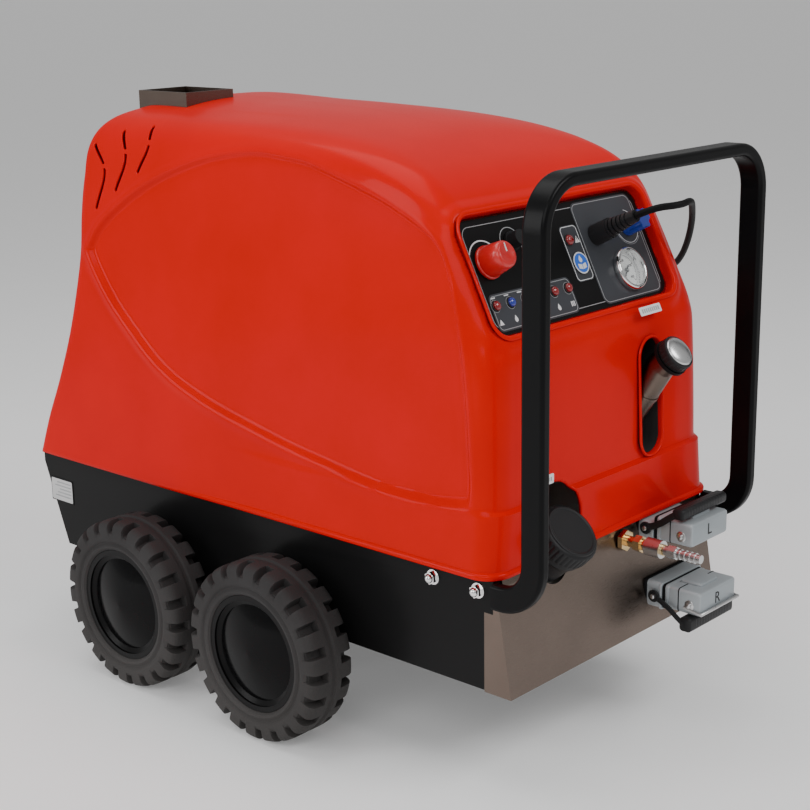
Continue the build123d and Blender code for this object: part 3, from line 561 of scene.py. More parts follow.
def outlet_field(p):
    cx, cl, half_x, half_l = OUTLET
    return np.maximum(np.abs(p[:, 0] - cx) - half_x, np.abs(p[:, 1] - cl) - half_l)


def vent_field(p):
    return louvre_gap(p[:, 1:])


def hood_skin():
    verts, faces = hood_grid()
    # recessed side panels with a soft step, deepest behind the arc
    yz = verts[:, 1:]
    sd = to_segments(yz, np.vstack([SIDE_PANEL, SIDE_PANEL[:1]]))
    sd = np.where(inside(yz, SIDE_PANEL), -sd, sd)
    flank = smooth_step(np.abs(verts[:, 0]), 205, 245)
    depth = 8.5 * smooth_step(-sd, -4, 7) - 2.0 * np.exp(-((sd - 8) / 7) ** 2)
    verts[:, 0] -= np.sign(verts[:, 0]) * depth * flank
    # raised rim round the control panel window
    front = (verts[:, 1] < 215) & (verts[:, 2] > 640)
    d = window_field(verts, 0.0)
    rise = 5.0 * (1 - smooth_step(d, 12, 30)) * front
    verts += NORMAL * rise[:, None]
    x_axis, l_axis, z_axis = (1, 0, 0), (0, 1, 0), (0, 0, 1)
    for field, near, axes in (
            (window_field, lambda x, l, z: (l < 240) & (z > 660), (x_axis, SLOPE)),
            (slot_field, lambda x, l, z: (l < 80) & (np.abs(x - SLOT[0]) < 60), (x_axis, z_axis)),
            (arch_field, lambda x, l, z: (l < 80) & (z < 500) & (np.abs(x - ARCH[0]) < 90), (x_axis, z_axis)),
            (outlet_field, lambda x, l, z: z > 930, (x_axis, l_axis)),
            (vent_field, lambda x, l, z: (np.abs(x) > 150) & (l > 780) & (z > 790), (l_axis, z_axis))):
        verts, faces = cut(verts, faces, field, near, axes)
    return verts, faces


def window_ring(grow, steps=8):
    cu, cv, width, height, corner = WINDOW
    return rounded(width + 2 * grow, height + 2 * grow, corner + grow, cu, cv, steps)


def slot_ring(grow):
    cx, cz, width, height, corner = SLOT
    return rounded(width + 2 * grow, height + 2 * grow, max(2, corner + grow), cx, cz)


def slot_lean(z):
    """How far the front face leans back at height z, in mm."""
    return max(0, (z - 466) / 174) * 8


def moulding():
    verts, faces = hood_skin()
    faces = [tuple(dict.fromkeys(f)) for f in faces]
    used = sorted({i for f in faces for i in f})
    index = {old: new for new, old in enumerate(used)}
    skin = piece("hood_moulding", [at(*verts[i]) for i in used], [tuple(index[i] for i in f) for f in faces],
                 body_of("hood_shell"), "red_moulding")
    bm = bmesh.new()
    bm.from_mesh(skin.data)
    bmesh.ops.remove_doubles(bm, verts=bm.verts, dist=1e-5)
    bmesh.ops.dissolve_degenerate(bm, edges=bm.edges, dist=2e-5)
    bmesh.ops.recalc_face_normals(bm, faces=bm.faces)
    if sum(f.calc_area() * f.normal.z for f in bm.faces) < 0:
        bmesh.ops.reverse_faces(bm, faces=bm.faces)
    bm.to_mesh(skin.data)
    bm.free()
    skin.data.polygons.foreach_set("use_smooth", [True] * len(skin.data.polygons))
    wall = skin.modifiers.new("wall", "SOLIDIFY")
    wall.thickness = 0.004
    wall.offset = -1.0
    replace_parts(skin, "hood_shell")


def window_reveal():
    """Rolled edge round the control panel."""
    s = Shape()
    s.loops([[panel_at(u, v, w) for u, v in window_ring(grow, 10)] for grow, w in
             ((9, 3.6), (7, 5.0), (4.6, 5.2), (2.2, 4.2), (0.6, 2.4), (0, 0), (0, -12), (-3, -12), (-3, -14),
              (4, -14))], caps=False)
    s.make("window_reveal", body_of("hood_shell"), "red_moulding")


def filler_pocket():
    """Rolled edge of the filler slot and the dark pocket behind it."""
    s = Shape()
    s.loops([[at(x, l + slot_lean(z), z) for x, z in slot_ring(grow)] for grow, l in
             ((5, 39.6), (3.5, 37.2), (1.5, 37.0), (0, 38.6), (-0.5, 42), (-0.5, 46))], caps=False)
    s.make("filler_reveal", body_of("hood_shell"), "red_moulding")
    s = Shape()
    mouth = [[at(x, 44 + slot_lean(z), z) for x, z in slot_ring(-0.4)]]
    depth = [[at(x, l, z) for x, z in slot_ring(grow)] for grow, l in
             ((-0.6, 60), (-2, 84), (-6, 90), (-20, 92))]
    s.loops(mouth + depth, caps=False)
    n = len(mouth[0])
    s.faces.append(tuple(len(s.verts) - n + k for k in range(n)))
    s.make("filler_liner", body_of("hood_shell"), "black_plastic", "dark_inside")


def foot_lip():
    """Flange lip round the foot, open at the water neck arch."""
    s = Shape()
    section = ((-12, 358), (-9, 355.5), (-4, 354.2), (-1.2, 352.6), (0, 350), (0, 347), (-1.2, 344.8),
               (-4, 344.2), (-16, 344.2))
    lip_half, lip_front, lip_back = 300, 31, 1133
    arch_right, arch_left = ARCH[0] + ARCH[2], ARCH[0] - ARCH[2]
    rings = []
    for d, z in section:
        ring = rounded(2 * (lip_half + d), lip_back - lip_front + 2 * d, FOOT_R + d, 0,
                       (lip_front + lip_back) / 2, 10)
        first = lip_front - d
        k = max(range(len(ring)), key=lambda i: ring[i][0] - 1000 * ring[i][1])
        ring = [(arch_right, first)] + ring[k:] + ring[:k] + [(arch_left, first)]
        rings.append([at(x, l, z) for x, l in ring])
    s.loops(rings, close=False, caps=False)
    n = len(rings[0])
    for end in (0, n - 1):
        s.faces.append(tuple(i * n + end for i in range(len(section))))
    s.make("hood_lip", body_of("hood_shell"), "red_moulding")


moulding()
window_reveal()
filler_pocket()
foot_lip()


# ---- wheels
LUGS = 22
LUG_SHARE = 0.30       # part of each lug pitch that is groove
GROOVE_R = 135.5       # bottom of a groove, mm
GROOVE_IN = 15.5       # grooves run from here, across the axis, to the shoulder
TREAD_FOOT = 128       # radius below which the wall is plain
SHOULDER = 42          # beyond this distance across, a groove also cuts the wall
TYRE_HALF = [(36, 98), (40, 99), (43, 102), (44.2, 106), (43.0, 109), (41.6, 111), (41.6, 113), (43.2, 115),
             (44.6, 117), (45, 120), (45, 124), (45, 129), (45, 134), (44.4, 139), (42.5, 143.5),
             (39.5, 146.6), (36, 148.4), (32, 149.6), (27, 150), (20, 150), (16.5, 150), (15, 150), (9, 150),
             (6, 149.6), (4.5, 147.5), (3, 146.5), (0, 146.5)]


def tread_point(x, r, turn):
    """Sinks a point of the tyre's section where it lies in a groove; turn is its share of the lug pitch."""
    phase = turn if x > 0 else (turn + 0.5) % 1
    ease = 1.0 if 0.02 < phase < 0.28 else 0.93
    if phase <= LUG_SHARE + 1e-6 and abs(x) > GROOVE_IN and r > TREAD_FOOT:
        floor_r = GROOVE_R - max(0, abs(x) - 24) * 0.33
        r = r + (min(r, floor_r) - r) * ease
        if abs(x) > SHOULDER:
            x = math.copysign(abs(x) - 2.2, x)
    return x, r


def tyre(tag):
    lo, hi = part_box("tyre_" + tag)
    centre = (np.array(lo) + np.array(hi)) / 2
    out = 1 if centre[0] > 0 else -1
    profile = TYRE_HALF + [(-x, r) for x, r in TYRE_HALF[-2::-1]]
    marks = [0.0, 0.05, 0.15, 0.25, 0.30, 0.325, 0.36, 0.42]
    marks = sorted(set(marks + [(m + 0.5) % 1 for m in marks] + [0.9]))
    s = Shape()
    for lug in range(LUGS):
        for m in marks:
            a = 2 * math.pi * (lug + m) / LUGS
            for x, r in profile:
                x, r = tread_point(x, r, m)
                s.verts.append(centre + np.array([x * out, r * math.cos(a), r * math.sin(a)]) * MM)
    n, count = len(profile), LUGS * len(marks)
    for i in range(count):
        here, ahead = i * n, (i + 1) % count * n
        for k in range(n):
            after = (k + 1) % n
            s.faces.append((here + k, here + after, ahead + after, ahead + k))
    tread = s.make("tread_" + tag, body_of("tyre_" + tag), "tread_rubber", auto=28)
    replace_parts(tread, "tyre_" + tag)


for tag in ("front_left", "front_right", "rear_left", "rear_right"):
    tyre(tag)


# ---- control panel print
HOOD = body_of("panel_plate")
GAUGE = (126.0, 80.0)
RECESS = -12.0         # bare panel plate along NORMAL, mm
PRINT = (-0.2, 0.18)   # print layer, just sunk in and just proud, mm
SWITCH = (-198, 140)   # red main switch
SMALL_SWITCH = (-128, 164)
PLUG = (164, 150)
LAMP_U, LAMP_V, LAMP_PITCH = -214, 75, 35
ICON_V = 50
SIGN = (14, 108)
ALARM = (5, 147)


def bare(u, v, w):
    return panel_at(u, v, w + RECESS)


def on_film(u, v, w):
    return panel_at(u, v, w + FACE)


def outline(shape, ring, width, where, lift=PRINT, close=True):
    """A printed line of constant width along an outline."""
    p = np.array(ring, float)
    if close:
        tangent = np.roll(p, -1, 0) - np.roll(p, 1, 0)
    else:
        tangent = np.gradient(p, axis=0)
    tangent /= np.hypot(*tangent.T)[:, None]
    normal = np.stack([tangent[:, 1], -tangent[:, 0]], 1) * width / 2
    shape.band(p - normal, p + normal, lift, where, close)


def moved(points, du, dv):
    return [(u + du, v + dv) for u, v in points]


def backing_plate():
    """Plate behind the print, with an opening at the gauge."""
    rim = np.array(window_ring(3.5), float)
    rim = np.concatenate([np.linspace(a, b, 12, endpoint=False) for a, b in zip(rim, np.roll(rim, -1, 0))])
    toward = rim - np.array(GAUGE)
    toward /= np.hypot(*toward.T)[:, None]
    s = Shape()
    s.band(np.array(GAUGE) + toward * 31.0, rim, (-14.9, RECESS), panel_at)
    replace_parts(s.make("panel_backing", HOOD, "black_paint"), "panel_plate")


def panel_frames(white, grey):
    """Framed fields of the panel and the scales round the switches."""
    outline(grey, rounded(430, 158, 16, -14, 119), 1.1, bare)
    outline(grey, rounded(190, 52, 8, -126, 64), 1.0, on_film)
    outline(white, rounded(40, 88, 7, 14, 125), 1.1, on_film)
    outline(grey, rounded(154, 164, 12, 118, 119), 1.0, on_film)
    outline(white, arc(35, 20, 150, *SWITCH), 2.2, bare, close=False)
    outline(grey, arc(23, -30, 210, *SMALL_SWITCH), 1.4, bare, close=False)
    outline(white, arc(28, 10, 75, *PLUG), 1.0, on_film, close=False)
    outline(white, arc(28, 185, 330, *PLUG), 1.0, on_film, close=False)
    outline(grey, arc(31, 195, 320, *PLUG), 0.8, on_film, close=False)


def lamp_icons(white, grey):
    """Generic signs under the lamps: a triangle, drops, a clock and bars."""
    triangle = [(-5, -4.5), (5, -4.5), (0, 4.5)]
    drop = [(0, 6), (3.6, 0), (3.2, -3.6), (0, -5.4), (-3.2, -3.6), (-3.6, 0)]
    for k in range(6):
        u = LAMP_U + LAMP_PITCH * k
        if k == 0:
            white.prism(moved(triangle, u, ICON_V), PRINT, on_film)
        elif k in (1, 4):
            white.prism(moved(drop, u, ICON_V), PRINT, on_film)
        elif k == 2:
            outline(white, circle(4.2, u, ICON_V), 1.4, on_film)
            white.bar(u - 0.7, ICON_V - 2.4, u + 0.7, ICON_V + 2.4, PRINT, on_film)
        else:
            for d in (-3.5, 0, 3.5):
                white.bar(u + d - 1, ICON_V - 4, u + d + 1, ICON_V + 4, PRINT, on_film)
        outline(grey, circle(9.5, u, LAMP_V), 0.7, on_film)
    for k in range(5):
        left = -219 + 31 * k
        white.bar(left, 86.5, left + 10, 88.3, (-0.2, 0.15), on_film)


def warning_sign(white, black):
    """Triangle with an exclamation mark beside the alarm lamp."""
    white.prism([(20.5, 141), (33, 141), (26.8, 152)], PRINT, on_film)
    black.prism([(26.2, 144.8), (27.4, 144.8), (27.6, 149.6), (26.0, 149.6)], (0.1, 0.3), on_film)
    black.bar(26.1, 142.6, 27.5, 143.8, (0.1, 0.3), on_film)


def panel_print():
    white, grey, black = Shape(), Shape(), Shape()
    panel_frames(white, grey)
    lamp_icons(white, grey)
    warning_sign(white, black)
    white.make("panel_print_white", HOOD, "grey_film", "white_print")
    grey.make("panel_print_grey", HOOD, "grey_film", "grey_print")
    black.make("panel_print_black", HOOD, "grey_film", "black_plastic")


def pictogram():
    """Round instruction sign: pale disc, blue field, white figure of a book under a drop."""
    disc = Shape()
    disc.prism(circle(17.8, *SIGN, 48), (1.9, 2.25), on_film)
    disc.make("pictogram_rim", HOOD, "grey_film", "white_print")
    field = Shape()
    field.prism(circle(15.6, *SIGN, 48), (2.2, 2.4), on_film)
    field.make("pictogram_field", HOOD, "grey_film", "blue_print")
    drop = [(0, 12.5), (3.8, 6.5), (4.2, 4.2), (2.6, 1.6), (0, 0.6), (-2.6, 1.6), (-4.2, 4.2), (-3.8, 6.5)]
    left_page = [(-0.7, -10.5), (-0.7, -2.6), (-9.6, -0.6), (-9.6, -8.4)]
    right_page = [(0.7, -10.5), (9.6, -8.4), (9.6, -0.6), (0.7, -2.6)]
    figure = Shape()
    for part in (drop, left_page, right_page):
        figure.prism(moved(part, *SIGN), (2.3, 2.6), on_film)
    figure.make("pictogram_figure", HOOD, "grey_film", "white_print")


def lamp(k, u, v, r, mat):
    """Black bezel and domed lens of radius r."""
    bezel = Shape()
    bezel.turned(panel_at(u, v, RECESS), NORMAL,
                 [(0.2, 0.01), (0.3, r + 1.4), (2.2, r + 1.4), (2.9, r + 0.7), (3.1, r)], 40)
    bezel.make(f"lamp_bezel_{k}", HOOD, "lamp_lens", "black_plastic")
    dome = [(4.0 + r * 0.62 * math.sin(a), r * math.cos(a)) for a in np.linspace(0.05, 1.5, 8)]
    lens = Shape()
    lens.turned(panel_at(u, v, RECESS), NORMAL, [(2.3, 0.01), (2.4, r - 0.1), (4.0, r)] + dome, 40)
    return lens.make(f"lamp_lens_{k}", HOOD, "lamp_lens", mat)


def lamps():
    """Row of six, blue in second and third place, and the alarm lamp."""
    row = ("lamp_lens", "blue_lens", "blue_lens", "lamp_lens", "lamp_lens", "lamp_lens")
    for k, mat in enumerate(row):
        lens = lamp(k, LAMP_U + LAMP_PITCH * k, LAMP_V, 7.3, mat)
        if k == 0:
            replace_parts(lens, "panel_lamps")
    lamp(len(row), *ALARM, 8.3, "lamp_lens")


backing_plate()
panel_print()
pictogram()
lamps()


# ---- gauge dial
def letters(name, text, size, where, body, slot, mat, lift=0.25):
    """Generic lettering as a thin solid; where(u, v, w) places it."""
    curve = bpy.data.curves.new(name, "FONT")
    curve.body = text
    curve.size = size
    curve.align_x = "CENTER"
    curve.align_y = "CENTER"
    curve.extrude = lift / 2
    curve.resolution_u = 4
    temp = bpy.data.objects.new(name + "_curve", curve)
    bpy.context.scene.collection.objects.link(temp)
    bpy.context.view_layer.update()
    mesh = bpy.data.meshes.new_from_object(temp.evaluated_get(bpy.context.evaluated_depsgraph_get()))
    bpy.data.objects.remove(temp)
    verts = [where(v.co.x, v.co.y, v.co.z) for v in mesh.vertices]
    faces = [tuple(p.vertices) for p in mesh.polygons]
    obj = piece(name, verts, faces, body, slot, mat, smooth=False)
    tidy_normals(obj)


def tick(shape, degrees, start, half):
    """Radial mark of the dial, from radius start out to the ring."""
    a = math.radians(degrees)
    c, s = math.cos(a), math.sin(a)
    corners = ((start, half), (26.6, half), (26.6, -half), (start, -half))
    shape.prism(moved([(r * c - e * s, r * s + e * c) for r, e in corners], *GAUGE), (-4.6, -4.4), bare)


def dial():
    body = body_of("gauge_case")
    ticks = Shape()
    for k in range(41):
        start, half = (21.5, 0.55) if k % 10 == 0 else (23.6, 0.28) if k % 5 == 0 else (24.6, 0.16)
        tick(ticks, 225 - 270 * k / 40, start, half)
    outline(ticks, arc(26.8, -45, 225, *GAUGE, 48), 0.4, bare, (-4.6, -4.4), close=False)
    ticks.make("dial_ticks", body, "chrome", "black_plastic")
    face = Shape()
    face.prism(circle(29.6, *GAUGE, 64), (-4.75, -4.6), bare)
    face.make("dial_face", body, "chrome", "dial_white")
    bezel = Shape()
    bezel.turned(panel_at(*GAUGE, RECESS), NORMAL,
                 [(-0.2, 33.4), (0.2, 35.4), (2, 36.0), (8, 36.0), (11, 35.2), (12.6, 33.6), (12.9, 32.0),
                  (12.2, 30.4), (9, 29.8), (5, 29.7), (-0.2, 29.7), (-0.2, 33.4)], 72, caps=False)
    bezel.make("gauge_bezel", body, "chrome", "chrome", auto=50)
    for k in range(5):
        a = math.radians(225 - 67.5 * k)
        cu, cv = GAUGE[0] + 17.2 * math.cos(a), GAUGE[1] + 17.2 * math.sin(a)
        letters(f"dial_number_{100 * k}", str(100 * k), 6.2,
                lambda u, v, w, cu=cu, cv=cv: bare(cu + u, cv + v, w - 4.4), body, "chrome",
                "black_plastic", 0.3)


dial()


# ---- control cable
LEAD_DIAMETER, LEAD_LENGTH = 0.011, 0.569


def control_lead():
    """From the ribbed plug over the panel and into the gland in the hood's right side."""
    foot = at(0, 51, 675) + (np.array([76.0, 0, 0]) + SLOPE * 146) * MM
    gland = at(288, 246, 688)
    gland_dir = np.array([0.9889, -0.1483, 0.0])
    gland_dir /= np.linalg.norm(gland_dir)
    route = [foot + NORMAL * 62 * MM, foot + NORMAL * 106 * MM, at(106, -13, 857), at(148, -3, 859),
             at(194, 23, 843), at(238, 50, 812), at(272, 77, 776), at(300, 105, 743), at(326, 137, 717),
             at(344, 172, 704), at(344, 208, 693), gland + gland_dir * 40 * MM, gland]
    curve = bpy.data.curves.new("control_lead", "CURVE")
    curve.dimensions = "3D"
    spline = curve.splines.new("NURBS")
    spline.points.add(len(route) - 1)
    for point, place in zip(spline.points, route):
        point.co = (*place, 1.0)
    spline.order_u = 3
    spline.use_endpoint_u = True
    spline.resolution_u = 12
    curve.bevel_depth = LEAD_DIAMETER / 2
    curve.bevel_resolution = 6
    curve.use_fill_caps = True
    lead = bpy.data.objects.new("control_lead", curve)
    bpy.context.scene.collection.objects.link(lead)
    lead.data.materials.append(MATS["black_rubber"])
    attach(lead, body_of("control_cable"))
    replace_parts(lead, "control_cable")


control_lead()


# ---- main switch, caps and stickers
def main_switch():
    body = body_of("knob_red")
    knob = Shape()
    knob.turned(panel_at(*SWITCH, RECESS), NORMAL,
                [(1.5, 20), (1.5, 25.2), (2.2, 26), (5.6, 26), (6.4, 25.4), (7.2, 24.6), (14, 24.0),
                 (24, 23.0), (34, 21.8), (39, 21.0), (41.8, 19.6), (43.4, 17.2), (44, 14), (43.2, 12),
                 (43.0, 0.01)], 72)
    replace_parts(knob.make("main_switch_knob", body, "red_knob_plastic", auto=35), "knob_red")
    mark = Shape()
    mark.bar(-199, 143, -197, 156, (43.0, 44.15), bare)
    mark.make("main_switch_mark", body, "red_knob_plastic", "white_print")


def water_cap():
    """Black screw cap with grip ribs, and the black sleeve on the tank's neck below it."""
    centre, axis = at(-140, 8, 390), np.array([0, -0.7071, 0.7071])
    profile = [(-28, 40), (-28, 47.5), (-26.5, 49), (-24, 49.6), (-6, 49.6), (-2.5, 48.6), (-0.6, 46.6),
               (0.2, 44.4), (1.2, 43.8), (2.4, 43.0), (3.0, 41.0), (2.4, 38.6), (1.6, 37.6), (1.5, 22),
               (1.7, 8), (1.8, 0.01)]
    ribs, steps = 36, 6
    across = np.array([1.0, 0, 0])
    along = np.cross(axis, across)
    cap = Shape()
    rings = []
    for h, r in profile:
        ribbed = -26 < h < -3 and r > 48
        ring = []
        for k in range(ribs * steps):
            t = 2 * math.pi * k / (ribs * steps)
            radius = r - 1.5 if ribbed and k % steps in (0, 1) else r
            ring.append(centre + (axis * h + (across * math.cos(t) + along * math.sin(t)) * radius) * MM)
        rings.append(ring)
    cap.loops(rings)
    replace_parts(cap.make("water_cap_ribbed", body_of("water_cap"), "black_plastic", auto=35), "water_cap")
    neck = Shape()
    neck.turned(centre, axis, [(-96, 34.5), (-84, 38.4), (-60, 40), (-44, 43.2), (-38, 45.6), (-37, 46.6),
                               (-28.7, 46.6), (-28.4, 46.0), (-28.4, 38.5), (-96, 34.5)], 64, caps=False)
    neck.make("water_neck_sleeve", body_of("water_tank"), "natural_plastic", "black_plastic")


def fuel_cap():
    """Bright dome in a black rim with grip ribs."""
    body = body_of("fuel_cap")
    knee, spout = at(120, 26.2, 595.1), np.array([0, -0.766, 0.6428])
    rim = Shape()
    rim.turned(knee, spout, [(26.4, 24.3), (26.4, 28.0), (27.2, 28.9), (42.5, 28.9), (43.7, 28.3),
                             (44.2, 27.2), (44.0, 25.6), (43.0, 24.8), (43.0, 0.01)], 72)
    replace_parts(rim.make("fuel_cap_rim", body, "chrome", "black_plastic", auto=50), "fuel_cap")
    dome = Shape()
    dome.turned(knee, spout, [(42.8, 0.01), (42.8, 25.4), (44.8, 25.3), (46.8, 22.6), (48.6, 17.4), (49.8, 9),
                              (50.1, 0.01)], 72)
    dome.make("fuel_cap_dome", body, "chrome", "bright_steel", auto=60)
    grip = Shape()
    ribs = 24
    for k in range(ribs):
        a = 2 * math.pi * k / ribs
        radial = np.array([1.0, 0, 0]) * math.cos(a) + np.cross(spout, [1.0, 0, 0]) * math.sin(a)
        tangent = np.cross(spout, radial)
        section = ((-1.3, 0), (-0.6, 0.8), (0.6, 0.8), (1.3, 0))
        grip.loops([[knee + (spout * h + radial * (28.6 + o) + tangent * t) * MM for t, o in section]
                    for h in (28.6, 40.4)])
    grip.make("fuel_cap_grip", body, "chrome", "black_plastic")


def on_side(u, v, w):
    return at(-281.8 - w, u, v)


def on_front(u, v, w):
    return at(u, 36 - w, v)


def label(names, body, slot, face, ring, lift, bars, bar_lift, where):
    """Plate or sticker with neutral bars where its print would be."""
    plate = Shape()
    plate.prism(ring, lift, where)
    plate.make(names[0], body, slot, face)
    lines = Shape()
    for bar in bars:
        lines.bar(*bar, bar_lift, where)
    lines.make(names[1], body, slot, "grey_print")


main_switch()
water_cap()
fuel_cap()
label(("panel_sticker", "panel_sticker_bars"), HOOD, "red_moulding", "white_print",
      rounded(58, 14, 2, 112, 6, 4), (11.5, 12.0),
      [(89 + 5.4 * k, 2.6, 92.6 + 5.4 * k, 9.4) for k in range(9)], (11.9, 12.15), panel_at)
label(("type_plate_face", "type_plate_bars"), body_of("side_plate_left"), "black_paint", "bright_steel",
      rounded(62, 42, 3, 1091, 269, 4), (-0.2, 0.5),
      [(1064, 256 + 6.6 * k, 1112 - 7 * (k % 3), 258.4 + 6.6 * k) for k in range(5)], (0.4, 0.7), on_side)
label(("front_sticker", "front_sticker_bars"), HOOD, "red_moulding", "white_print",
      rounded(34, 15, 2, -166, 472, 4), (-0.4, 0.9),
      [(5.4 * k - 179, 469, 5.4 * k - 175.4, 475) for k in range(5)], (0.8, 1.1), on_front)


# ---- front connectors
CONNECTOR_X = 145.0
PLUG_DEPTH = 100       # front of the plug ahead of the mounting face, mm
LEVER_PIVOT = 18       # lever pivot ahead of the mounting face
GRIP_OUT = 61          # lever grip ahead of its pivot


def housing(shape, half, z0, z1, y0, y1, r=5.0, soft=2.5):
    """Rounded box along y about the connectors' middle, with a softened front edge at y0."""
    rings = []
    for inset, y in ((0.8, y1), (0, y1 - 0.8), (0, y0 + soft), (soft * 0.3, y0 + soft * 0.3), (soft, y0)):
        ring = rounded(2 * (half - inset), z1 - z0 - 2 * inset, max(0.5, r - inset), CONNECTOR_X,
                       (z0 + z1) / 2, 6)
        rings.append([at(x, y, z) for x, z in ring])
    shape.loops(rings)


def flat_bar(shape, points, width, thick, x):
    """Bar lying in a plane of constant x, swept along (y, z) points."""
    p = np.array(points, float)
    tangent = np.gradient(p, axis=0)
    tangent /= np.hypot(*tangent.T)[:, None]
    across = np.stack([-tangent[:, 1], tangent[:, 0]], 1)
    section = ((-1, -0.8), (-0.8, -1), (0.8, -1), (1, -0.8), (1, 0.8), (0.8, 1), (-0.8, 1), (-1, 0.8))
    shape.loops([[at(x + dx * thick / 2, *(q + n * dn * width / 2)) for dx, dn in section]
                 for q, n in zip(p, across)])


def connector_base(tag, z, face):
    """Base on the front plate with its seals, corner screws and pivot studs."""
    body = body_of("connector_bases")
    base = Shape()
    housing(base, 58, z - 22, min(z + 22.6, 342.4), face - 26, face + 3, 7, 1.2)
    housing(base, 60, z - 23, min(z + 22.6, 342.4), face - 30, face - 25.4, 6, 1.4)
    base = base.make(f"connector_{tag}_base", body, "die_cast")
    if tag == "left":
        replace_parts(base, "connector_bases")
    seal = Shape()
    housing(seal, 61.5, z - 24.5, min(z + 24.5, 343), face - 1.5, face + 4, 8, 1.0)
    housing(seal, 57, z - 21, z + 20.6, face - 33.9, face - 29.8, 6, 0.8)
    seal.make(f"connector_{tag}_seal", body, "black_rubber")
    studs = Shape()
    for side in (-1, 1):
        for level in (-1, 1):
            studs.turned(at(CONNECTOR_X + side * 51, face - 30.0, z + level * 16), (0, -1, 0),
                         [(-1, 3.4), (0.6, 3.4), (1.4, 2.8), (1.7, 1.6), (0.8, 1.4), (0.7, 0.01)], 20)
        studs.turned(at(CONNECTOR_X + side * 59.8, face - LEVER_PIVOT, z), (side, 0, 0),
                     [(-0.5, 8.4), (0.6, 8.4), (1.0, 3.9), (8.4, 3.9), (9.0, 3.0), (9.1, 0.01)], 28)
    studs.make(f"connector_{tag}_studs", body, "bright_steel")


def connector_plug(tag, letter, z, face):
    """Plug housing with its raised key, joint band, letter and locking pegs."""
    body = body_of("connector_plug_" + tag)
    plug = Shape()
    housing(plug, 54, z - 20, z + 20, face - PLUG_DEPTH, face - 34.6, 6, 5)
    housing(plug, 55.4, z - 21, z + 20.6, face - 41, face - 34.4, 6, 1)
    housing(plug, 26, z + 12, z + 25, face - 84, face - 46, 4, 4)
    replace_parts(plug.make(f"connector_{tag}_housing", body, "die_cast"), "connector_plug_" + tag)
    band = Shape()
    housing(band, 54.5, z - 20.5, z + 20.5, face - 60, face - 57.5, 6, 0.5)
    band.make(f"connector_{tag}_band", body, "black_rubber")
    letters(f"connector_letter_{tag}", letter, 27,
            lambda u, v, w: at(CONNECTOR_X + u - 2, face - PLUG_DEPTH - w - 0.2, z + v), body, "die_cast",
            "black_plastic", 0.6)
    pegs = Shape()
    for side in (-1, 1):
        pegs.turned(at(CONNECTOR_X + side * 53.6, face - 80, z - 4), (side, 0, 0),
                    [(-0.5, 8.6), (1.4, 8.6), (2.0, 7.8), (2.0, 4.2), (5.2, 4.2), (5.8, 3.4), (5.9, 0.01)],
                    28)
    pegs.make(f"connector_{tag}_pegs", body, "die_cast", "bright_steel")


def connector_lever(tag, z, face, way, reach, height, arm):
    """Locking bail: two arms from the pivots to a ribbed grip; way is 1 above the plug and -1 below."""
    pivot = face - LEVER_PIVOT
    s = Shape()
    path = dense([(pivot + 1, z + way * 1.5), (pivot - 14, z + way * 6), (pivot - 30, z + way * 15),
                  (pivot - 46, z + way * 27), (pivot - 58, z + way * reach)], 24)
    for side in (-1, 1):
        flat_bar(s, path, arm, 3.6, CONNECTOR_X + side * 63)
        s.turned(at(CONNECTOR_X + side * 61.1, pivot, z), (side, 0, 0),
                 [(0, 4.2), (0, 9.6), (0.5, 10.2), (3.4, 10.2), (4.0, 9.6), (4.0, 4.2), (0, 4.2)], 36,
                 caps=False)

    def grip_ring(x, width, tall, corner):
        ring = rounded(width, tall, corner, pivot - GRIP_OUT, z + way * reach, 6)
        return [at(CONNECTOR_X + x, y, level) for y, level in ring]
    s.loops([grip_ring(x, 22 - 2 * inset, height - 2 * inset, 6 - inset * 0.5) for x, inset in
             ((-65, 2.0), (-63.5, 0.4), (-62, 0), (62, 0), (63.5, 0.4), (65, 2.0))])
    for k in range(13):
        s.loops([grip_ring(8 * k - 48 + dx, 21.1 + 2 * grow, height - 0.9 + 2 * grow, 6) for dx, grow in
                 ((-1.6, 0.0), (-1.0, 0.5), (1.0, 0.5), (1.6, 0.0))])
    lever = s.make(f"connector_{tag}_lever", body_of("connector_lever_" + tag), "black_plastic")
    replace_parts(lever, "connector_lever_" + tag)


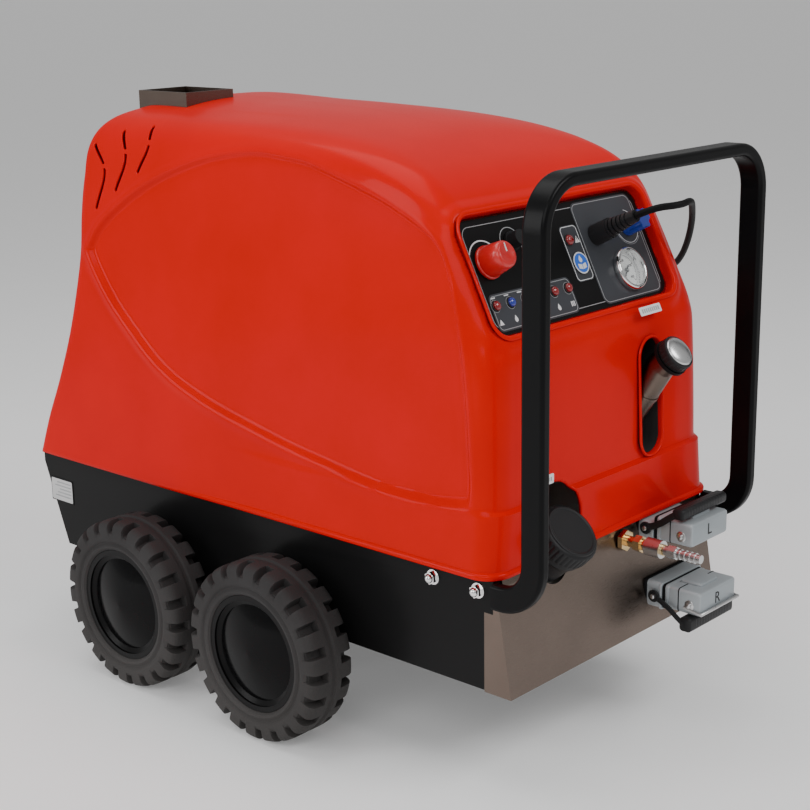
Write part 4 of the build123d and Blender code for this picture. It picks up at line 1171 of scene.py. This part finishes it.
def plug_wire(tag, z, face):
    """Bright spring wire along the front of the lower plug."""
    wire = Shape()
    wire.turned(at(CONNECTOR_X - 57, face - 103.5, z - 14), (1, 0, 0),
                [(0, 0.01), (0, 2.2), (0.8, 2.8), (113.2, 2.8), (114, 2.2), (114, 0.01)], 20)
    for side in (-1, 1):
        flat_bar(wire, [(face - 102, z - 14), (face - 88, z - 12), (face - 70, z - 9)], 5, 2.4,
                 CONNECTOR_X + side * 55.4)
    wire.make(f"connector_{tag}_bar", body_of("connector_plug_" + tag), "bright_steel")


def front_plate_y(z):
    """The front plate leans: its face at height z, in design mm."""
    return 12 + (z - 162) * 28 / 168


for tag, letter, z, lever in (("left", "L", 333.0, (1, 34.8, 18, 11)),
                              ("right", "R", 220.0, (-1, 34.5, 24, 8))):
    connector_base(tag, z, front_plate_y(z))
    connector_plug(tag, letter, z, front_plate_y(z))
    connector_lever(tag, z, front_plate_y(z), *lever)
plug_wire("right", 220.0, front_plate_y(220.0))

# ---- stage and light
FLOOR_HALF = 60
floor = bpy.data.objects.new("floor", bpy.data.meshes.new("floor"))
floor.data.from_pydata([(x * FLOOR_HALF, y * FLOOR_HALF, 0)
                        for x, y in ((-1, -1), (1, -1), (1, 1), (-1, 1))], [], [(0, 1, 2, 3)])
bpy.context.scene.collection.objects.link(floor)
floor.data.materials.append(material("studio_floor", (0.84, 0.84, 0.84), 0.7, spread=0.01, grain=40,
                                     bump=0.02, Emission_Strength=0.16, Emission_Color=(1, 1, 1, 1)))

world = bpy.data.worlds.new("studio")
bpy.context.scene.world = world
world.use_nodes = True
world.node_tree.nodes["Background"].inputs["Color"].default_value = (1, 1, 1, 1)
world.node_tree.nodes["Background"].inputs["Strength"].default_value = 0.42


def softbox(name, place, aim, size, power, colour=(1, 1, 1)):
    data = bpy.data.lights.new(name, "AREA")
    data.shape = "RECTANGLE"
    data.size, data.size_y = size
    data.energy = power
    data.color = colour
    lamp = bpy.data.objects.new(name, data)
    bpy.context.scene.collection.objects.link(lamp)
    lamp.location = place
    lamp.rotation_euler = (Vector(aim) - Vector(place)).to_track_quat("-Z", "Y").to_euler()


softbox("key", (0.6, -3.2, 3.4), (0, 0, 0.6), (2.2, 1.6), 74)
softbox("top", (-0.4, 0.6, 3.6), (0, 0, 0.8), (3.0, 2.0), 46)
softbox("left", (-3.2, -1.6, 2.6), (0, 0, 0.5), (2.4, 2.0), 44)
softbox("rim", (-3.4, 1.8, 1.8), (0, 0, 0.6), (1.2, 2.2), 45)
